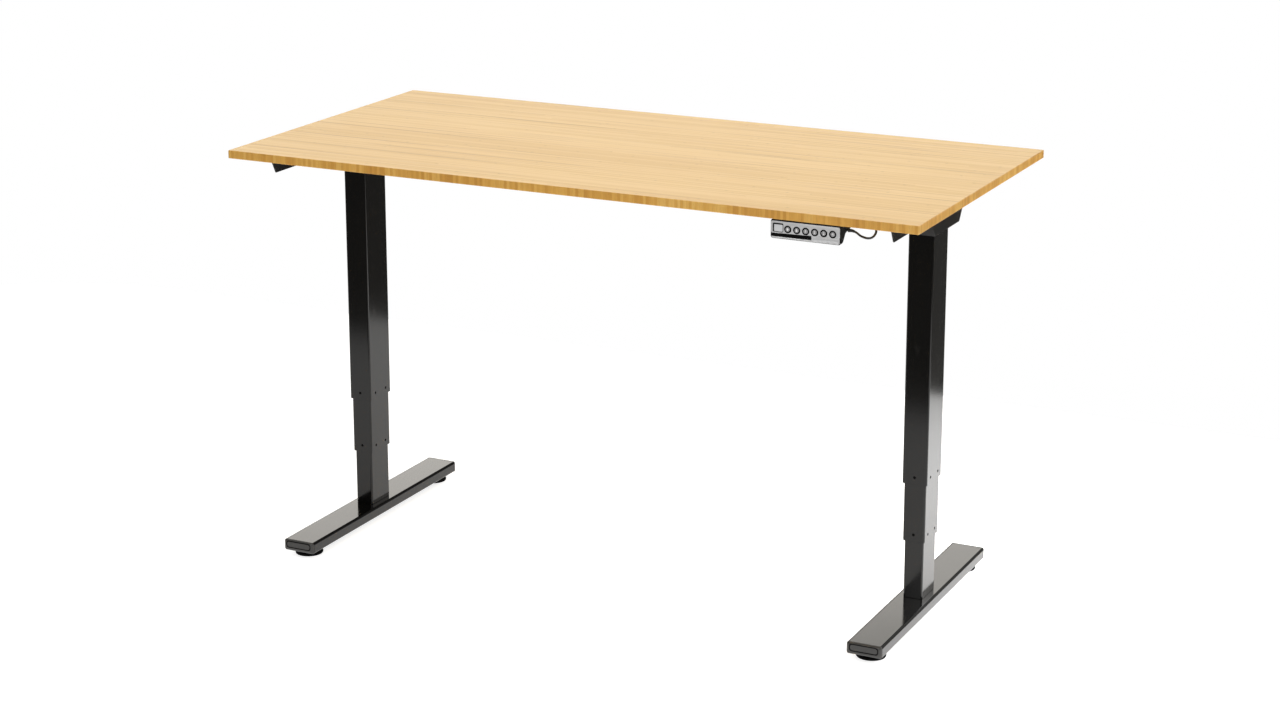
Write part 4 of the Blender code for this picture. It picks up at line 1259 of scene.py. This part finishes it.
def makePanelFace(low, high, middle, size, turnX):
    # sheet with the holes for the keys and the window, lower at its left end
    look = panelLook
    split, top = low.z + look["stripHigh"], high.z - look["topGap"]
    face = Vector((middle.x, middle.y, (top + split) / 2))
    outline = [(x, z - look["stripDip"] if x < 0 and z < 0 else z)
               for x, z in roundedLoop(size.x, top - split, look["corner"], look["cornerSteps"])]
    beforeLastCorner = 3 * (look["cornerSteps"] + 1)
    outline.insert(beforeLastCorner, (turnX - face.x, split - face.z))
    window = spanOf("handset_display")
    width, height = (side + 2 * look["windowGap"] for side in (window[3].x, window[3].z))
    holes = [(window[2], roundedLoop(width, height, look["windowCorner"], 5))]
    for key in keys:
        button = spanOf("button_" + key)
        radius = button[3].x / 2 + look["keyGap"]
        holes.append((button[2], circle(radius, look["holeSteps"])))
    loops = [[(x + place.x - face.x, z + place.z - face.z) for x, z in loop]
             for place, loop in holes]
    sheet = flatSheet("silverFace", [outline, *loops], size.y, look["edge"], silverPanel, face)
    fit(sheet, "top", "silver_panel", "handset_panel")


def makePanel():
    low, high, middle, size = spanOf("handset_panel")
    look = panelLook
    # where the painted dark reflection gives way to silver
    turnX = low.x + size.x * look["paintedReflectionShare"]
    makePanelFace(low, high, middle, size, turnX)
    # below it a hollow band, black on the left as a painted dark reflection, and then silver
    for name, start, stop, dip, finish, slot in (
            ("glossStrip", low.x + look["sideGap"], turnX, look["stripDip"], glossBlackAndPaintedReflection,
             "black_plastic"),
            ("silverBand", turnX, high.x - look["sideGap"], 0.0, silverPanel, "silver_panel")):
        rings = []
        for x, drop in ((start, dip), (stop, 0.0)):
            upper, lower = look["stripHigh"] - drop, look["stripLow"]
            part = (upper - lower) / 4
            section = [(high.y, upper), (low.y + 0.0001, upper), (low.y + 0.0004, upper - part),
                       (low.y + 0.0008, upper - 2 * part), (low.y + 0.0008, lower + part),
                       (low.y + 0.0004, lower), (high.y, lower)]
            rings.append([(x, y, low.z + z) for y, z in section])
        fit(evenShading(skinned(name, rings, [finish], 40.0)), "top", slot)
    # a rounded lip along the bottom, mitred at its ends
    lipTop = low.z + look["lipTop"]
    section = [(high.y, lipTop)]
    for step in range(look["lipSteps"] + 1):
        angle = math.radians(75 - step * 150 / look["lipSteps"])
        section.append((high.y - size.y * math.cos(angle) * look["lipBulge"],
                        low.z + look["lipMiddle"] + look["lipRadius"] * math.sin(angle)))
    section.append((high.y, low.z + look["lipBottom"]))
    rings = []
    for step in range(look["lipLength"] + 1):
        inward = {0: look["lipMitre"], look["lipLength"]: -look["lipMitre"]}.get(step, 0.0)
        x = low.x + size.x * step / look["lipLength"]
        rings.append([(x + inward * max(0.0, lipTop - z), y, z) for y, z in section])
    lip = skinned("silverLip", rings, [silverPanel], 50.0)
    fit(evenShading(lip), "top", "silver_panel")


def makeDisplay():
    low, high, middle, size = spanOf("handset_display")
    look = displayLook
    steps = look["cornerSteps"]
    rows = [(high.y, 0.0, 0.0019)]
    rows += [(low.y + place, inset, radius) for place, inset, radius in look["window"]]
    window = skinned("displayWindow", [insetRing(size, inset, radius, steps, middle, "y", y)
                                       for y, inset, radius in rows], [windowGrey], 40.0)
    fit(evenShading(window), "top", "display_window", "handset_display")
    # dark surround, thicker at its upper left
    rings = []
    for place, inset, radius in look["surround"]:
        loop = roundedLoop(size.x - 2 * inset, size.z - 2 * inset, radius, steps)
        if inset < 0:
            loop = [(x - look["thickerLeft"] if x < 0 else x,
                     z + look["thickerTop"] if z > 0 else z) for x, z in loop]
        rings.append(laidOut(loop, middle, "y", low.y + place))
    surround = skinned("displaySurround", rings, [glossBlackAndPaintedReflection], 40.0, closed=True)
    fit(surround, "top", "display_window")


def makeSymbol(key, centre, front):
    # an arrow or a number, a little proud of its key
    look, name = keyLook, key + "Symbol"
    if key in ("up", "down"):
        flip = 1 if key == "up" else -1
        arrow = [(x, y * flip) for x, y in look["arrow"]]
        return flatSheet(name, [arrow], look["arrowDepth"], look["arrowEdge"], symbolWhite,
                         Vector((centre.x, front + look["arrowSunk"], centre.z)))
    text = bpy.data.curves.new(key + "Text", "FONT")
    text.body = key[-1]
    text.size = look["textSize"]
    text.extrude = look["textDepth"]
    text.resolution_u = 4
    text.align_x = text.align_y = "CENTER"
    return standing(name, text, symbolWhite,
                    Vector((centre.x, front + look["textSunk"], centre.z)))


def makeKeys():
    look = keyLook
    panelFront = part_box("handset_panel")[0].y
    rims = bmesh.new()
    for key in keys:
        low, high, middle, size = spanOf("button_" + key)
        radius = size.x / 2
        front = low.y + look["front"]
        shape = bmesh.new()
        lathe(shape, [(0.0, high.y), (radius - 0.0003, high.y), (radius, high.y - 0.0003),
                      (radius, front + 0.0005), (radius - 0.0002, front + 0.0002),
                      (radius - 0.0006, front), (radius - 0.0010, front + 0.00004),
                      (radius * 0.5, front + 0.00014), (0.0, front + 0.00016)],
              middle, "y", look["steps"])
        cap = finishPiece(key + "Key", shape, [buttonGrey], 40.0)
        fit(evenShading(cap), "key_" + key, "button_grey", "button_" + key)
        fit(makeSymbol(key, middle, low.y), "key_" + key, "button_grey")
        inner, outer = radius + look["rimGap"], radius + look["rimWidth"]
        lathe(rims, [(inner, panelFront + 0.0003), (inner, panelFront - 0.0003),
                     (inner + 0.0003, panelFront - 0.0005), (outer - 0.0005, panelFront - 0.0004),
                     (outer, panelFront - 0.00005), (outer, panelFront + 0.0003)],
              middle, "y", look["steps"], closed=True)
    fit(evenShading(finishPiece("keyRims", rims, [glossBlackAndPaintedReflection], 40.0)), "top", "black_plastic")


makeHousing()
makePanel()
makeDisplay()
makeKeys()
print("handset made")


hiddenParts = {"_outer_guide": guidePlastic, "_middle_guide": guidePlastic,
               "_upper_nut": guidePlastic, "_lower_nut": guidePlastic,
               "_drive_screw": screwSteel, "_hollow_screw": screwSteel, "_bearing": screwSteel,
               "_gearbox": motorSteel, "_motor": motorSteel}
for name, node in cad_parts.items():
    for ending, finish in hiddenParts.items():
        if name.endswith(ending):
            node.material_slots[0].material = finish
for source in (panScrew, socketBolt, guideStud, cableClip):
    bpy.data.objects.remove(source)


studio = {"cameraPlace": (2.3698, -4.8384, 2.047), "pitch": 14.4, "turn": 26.01,
          "lens": 74.41, "shift": -0.0781,
          "floor": 0.65, "floorSpread": 0.02, "floorGlow": 0.75, "floorCorner": 0.8,
          "floorLow": (-3.0, -1.35), "floorHigh": (3.0, 1.40), "floorDepths": (-0.0010, -0.0005),
          "air": rgba(1.0, 0.965, 0.905), "white": rgba(1.0, 1.0, 1.0)}
# a lamp's name, place, target, size and power
lamps = [("overhead", (0.1, 0.3, 2.9), (0.0, 0.0, 0.0), (3.4, 2.6), 20.0),
         ("front", (0.5, -3.6, 1.7), (0.0, 0.0, 0.75), (2.6, 1.4), 50.0),
         ("rearRight", (1.24, 0.55, 0.60), (1.24, 0.55, 0.0), (0.8, 1.4), 27.0)]


def makeFloor():
    (x0, y0), (x1, y1) = studio["floorLow"], studio["floorHigh"]
    middle = ((x0 + x1) / 2, (y0 + y1) / 2, 0.0)
    pale, paler = studio["floor"], studio["floor"] + studio["floorSpread"]
    ground = Finish("paleFloor", (pale,) * 3, 0.75, fixed={
        "Specular IOR Level": 0.2, "Emission Color": studio["white"],
        "Emission Strength": studio["floorGlow"]})
    tone = ground.noise(0.6, 3.0)
    ground.give({"Base Color": ground.mix(tone, rgba(pale, pale, pale), rgba(paler, paler, paler)),
                 "Roughness": 0.70 + tone * 0.08})
    outline = roundedLoop(x1 - x0, y1 - y0, studio["floorCorner"])
    floor = skinned("floor", [laidOut(outline, middle, "z", z) for z in studio["floorDepths"]],
                    [ground.material])
    desk.objects.unlink(floor)
    bpy.context.scene.collection.objects.link(floor)


def makeLamps():
    for name, place, target, (width, depth), power in lamps:
        lamp = bpy.data.lights.new(name, "AREA")
        lamp.shape = "RECTANGLE"
        lamp.size, lamp.size_y = width, depth
        lamp.energy = power
        holder = bpy.data.objects.new(name, lamp)
        holder.location = place
        facing = Vector(target) - Vector(place)
        holder.rotation_euler = facing.to_track_quat("-Z", "Y").to_euler()
        holder.visible_camera = False
        bpy.context.scene.collection.objects.link(holder)


def makeAir():
    # a bright band low behind the desk, dim in front of it, soft light from above; plain white
    # where it is seen directly
    world = bpy.data.worlds.new("studioAir")
    bpy.context.scene.world = world
    world.use_nodes = True
    tree = world.node_tree
    direction = addNode(tree, "ShaderNodeTexCoord").outputs["Generated"]
    y, z = addNode(tree, "ShaderNodeSeparateXYZ", None, {0: direction}).outputs[1:]
    behind = smoothRange(tree, y, -0.1, 0.6, 0.0, 2.5)
    rising = smoothRange(tree, z, -0.02, 0.08, 0.0, 1.0)
    capped = smoothRange(tree, z, 0.36, 0.44, 1.0, 0.0)
    high = smoothRange(tree, z, 0.50, 0.85, 0.13, 0.72)
    band = treeMaths(tree, "MULTIPLY", rising, capped)
    lowBack = treeMaths(tree, "MULTIPLY", band, behind)
    lit = treeMaths(tree, "ADD", lowBack, high)
    seen = addNode(tree, "ShaderNodeLightPath").outputs["Is Camera Ray"]
    strength = addNode(tree, "ShaderNodeMix", {"data_type": "FLOAT"}, {0: seen, 2: lit, 3: 1.0})
    warmth = addNode(tree, "ShaderNodeMix", {"data_type": "RGBA"},
                     {0: seen, 6: studio["air"], 7: studio["white"]})
    air = tree.nodes["Background"]
    feed(tree, air.inputs["Color"], warmth.outputs[2])
    feed(tree, air.inputs["Strength"], strength.outputs[0])


def makeCamera():
    lens = bpy.data.cameras.new("camera")
    lens.lens = studio["lens"]
    lens.sensor_width = 36.0
    lens.shift_y = studio["shift"]
    lens.clip_end = 100.0
    camera = bpy.data.objects.new("camera", lens)
    camera.location = studio["cameraPlace"]
    tilt, turn = math.radians(90 - studio["pitch"]), math.radians(studio["turn"])
    camera.rotation_euler = (tilt, 0.0, turn)
    bpy.context.scene.collection.objects.link(camera)
    bpy.context.scene.camera = camera
    bpy.context.scene.view_settings.view_transform = "Standard"


makeFloor()
makeLamps()
makeAir()
makeCamera()
print("studio made")
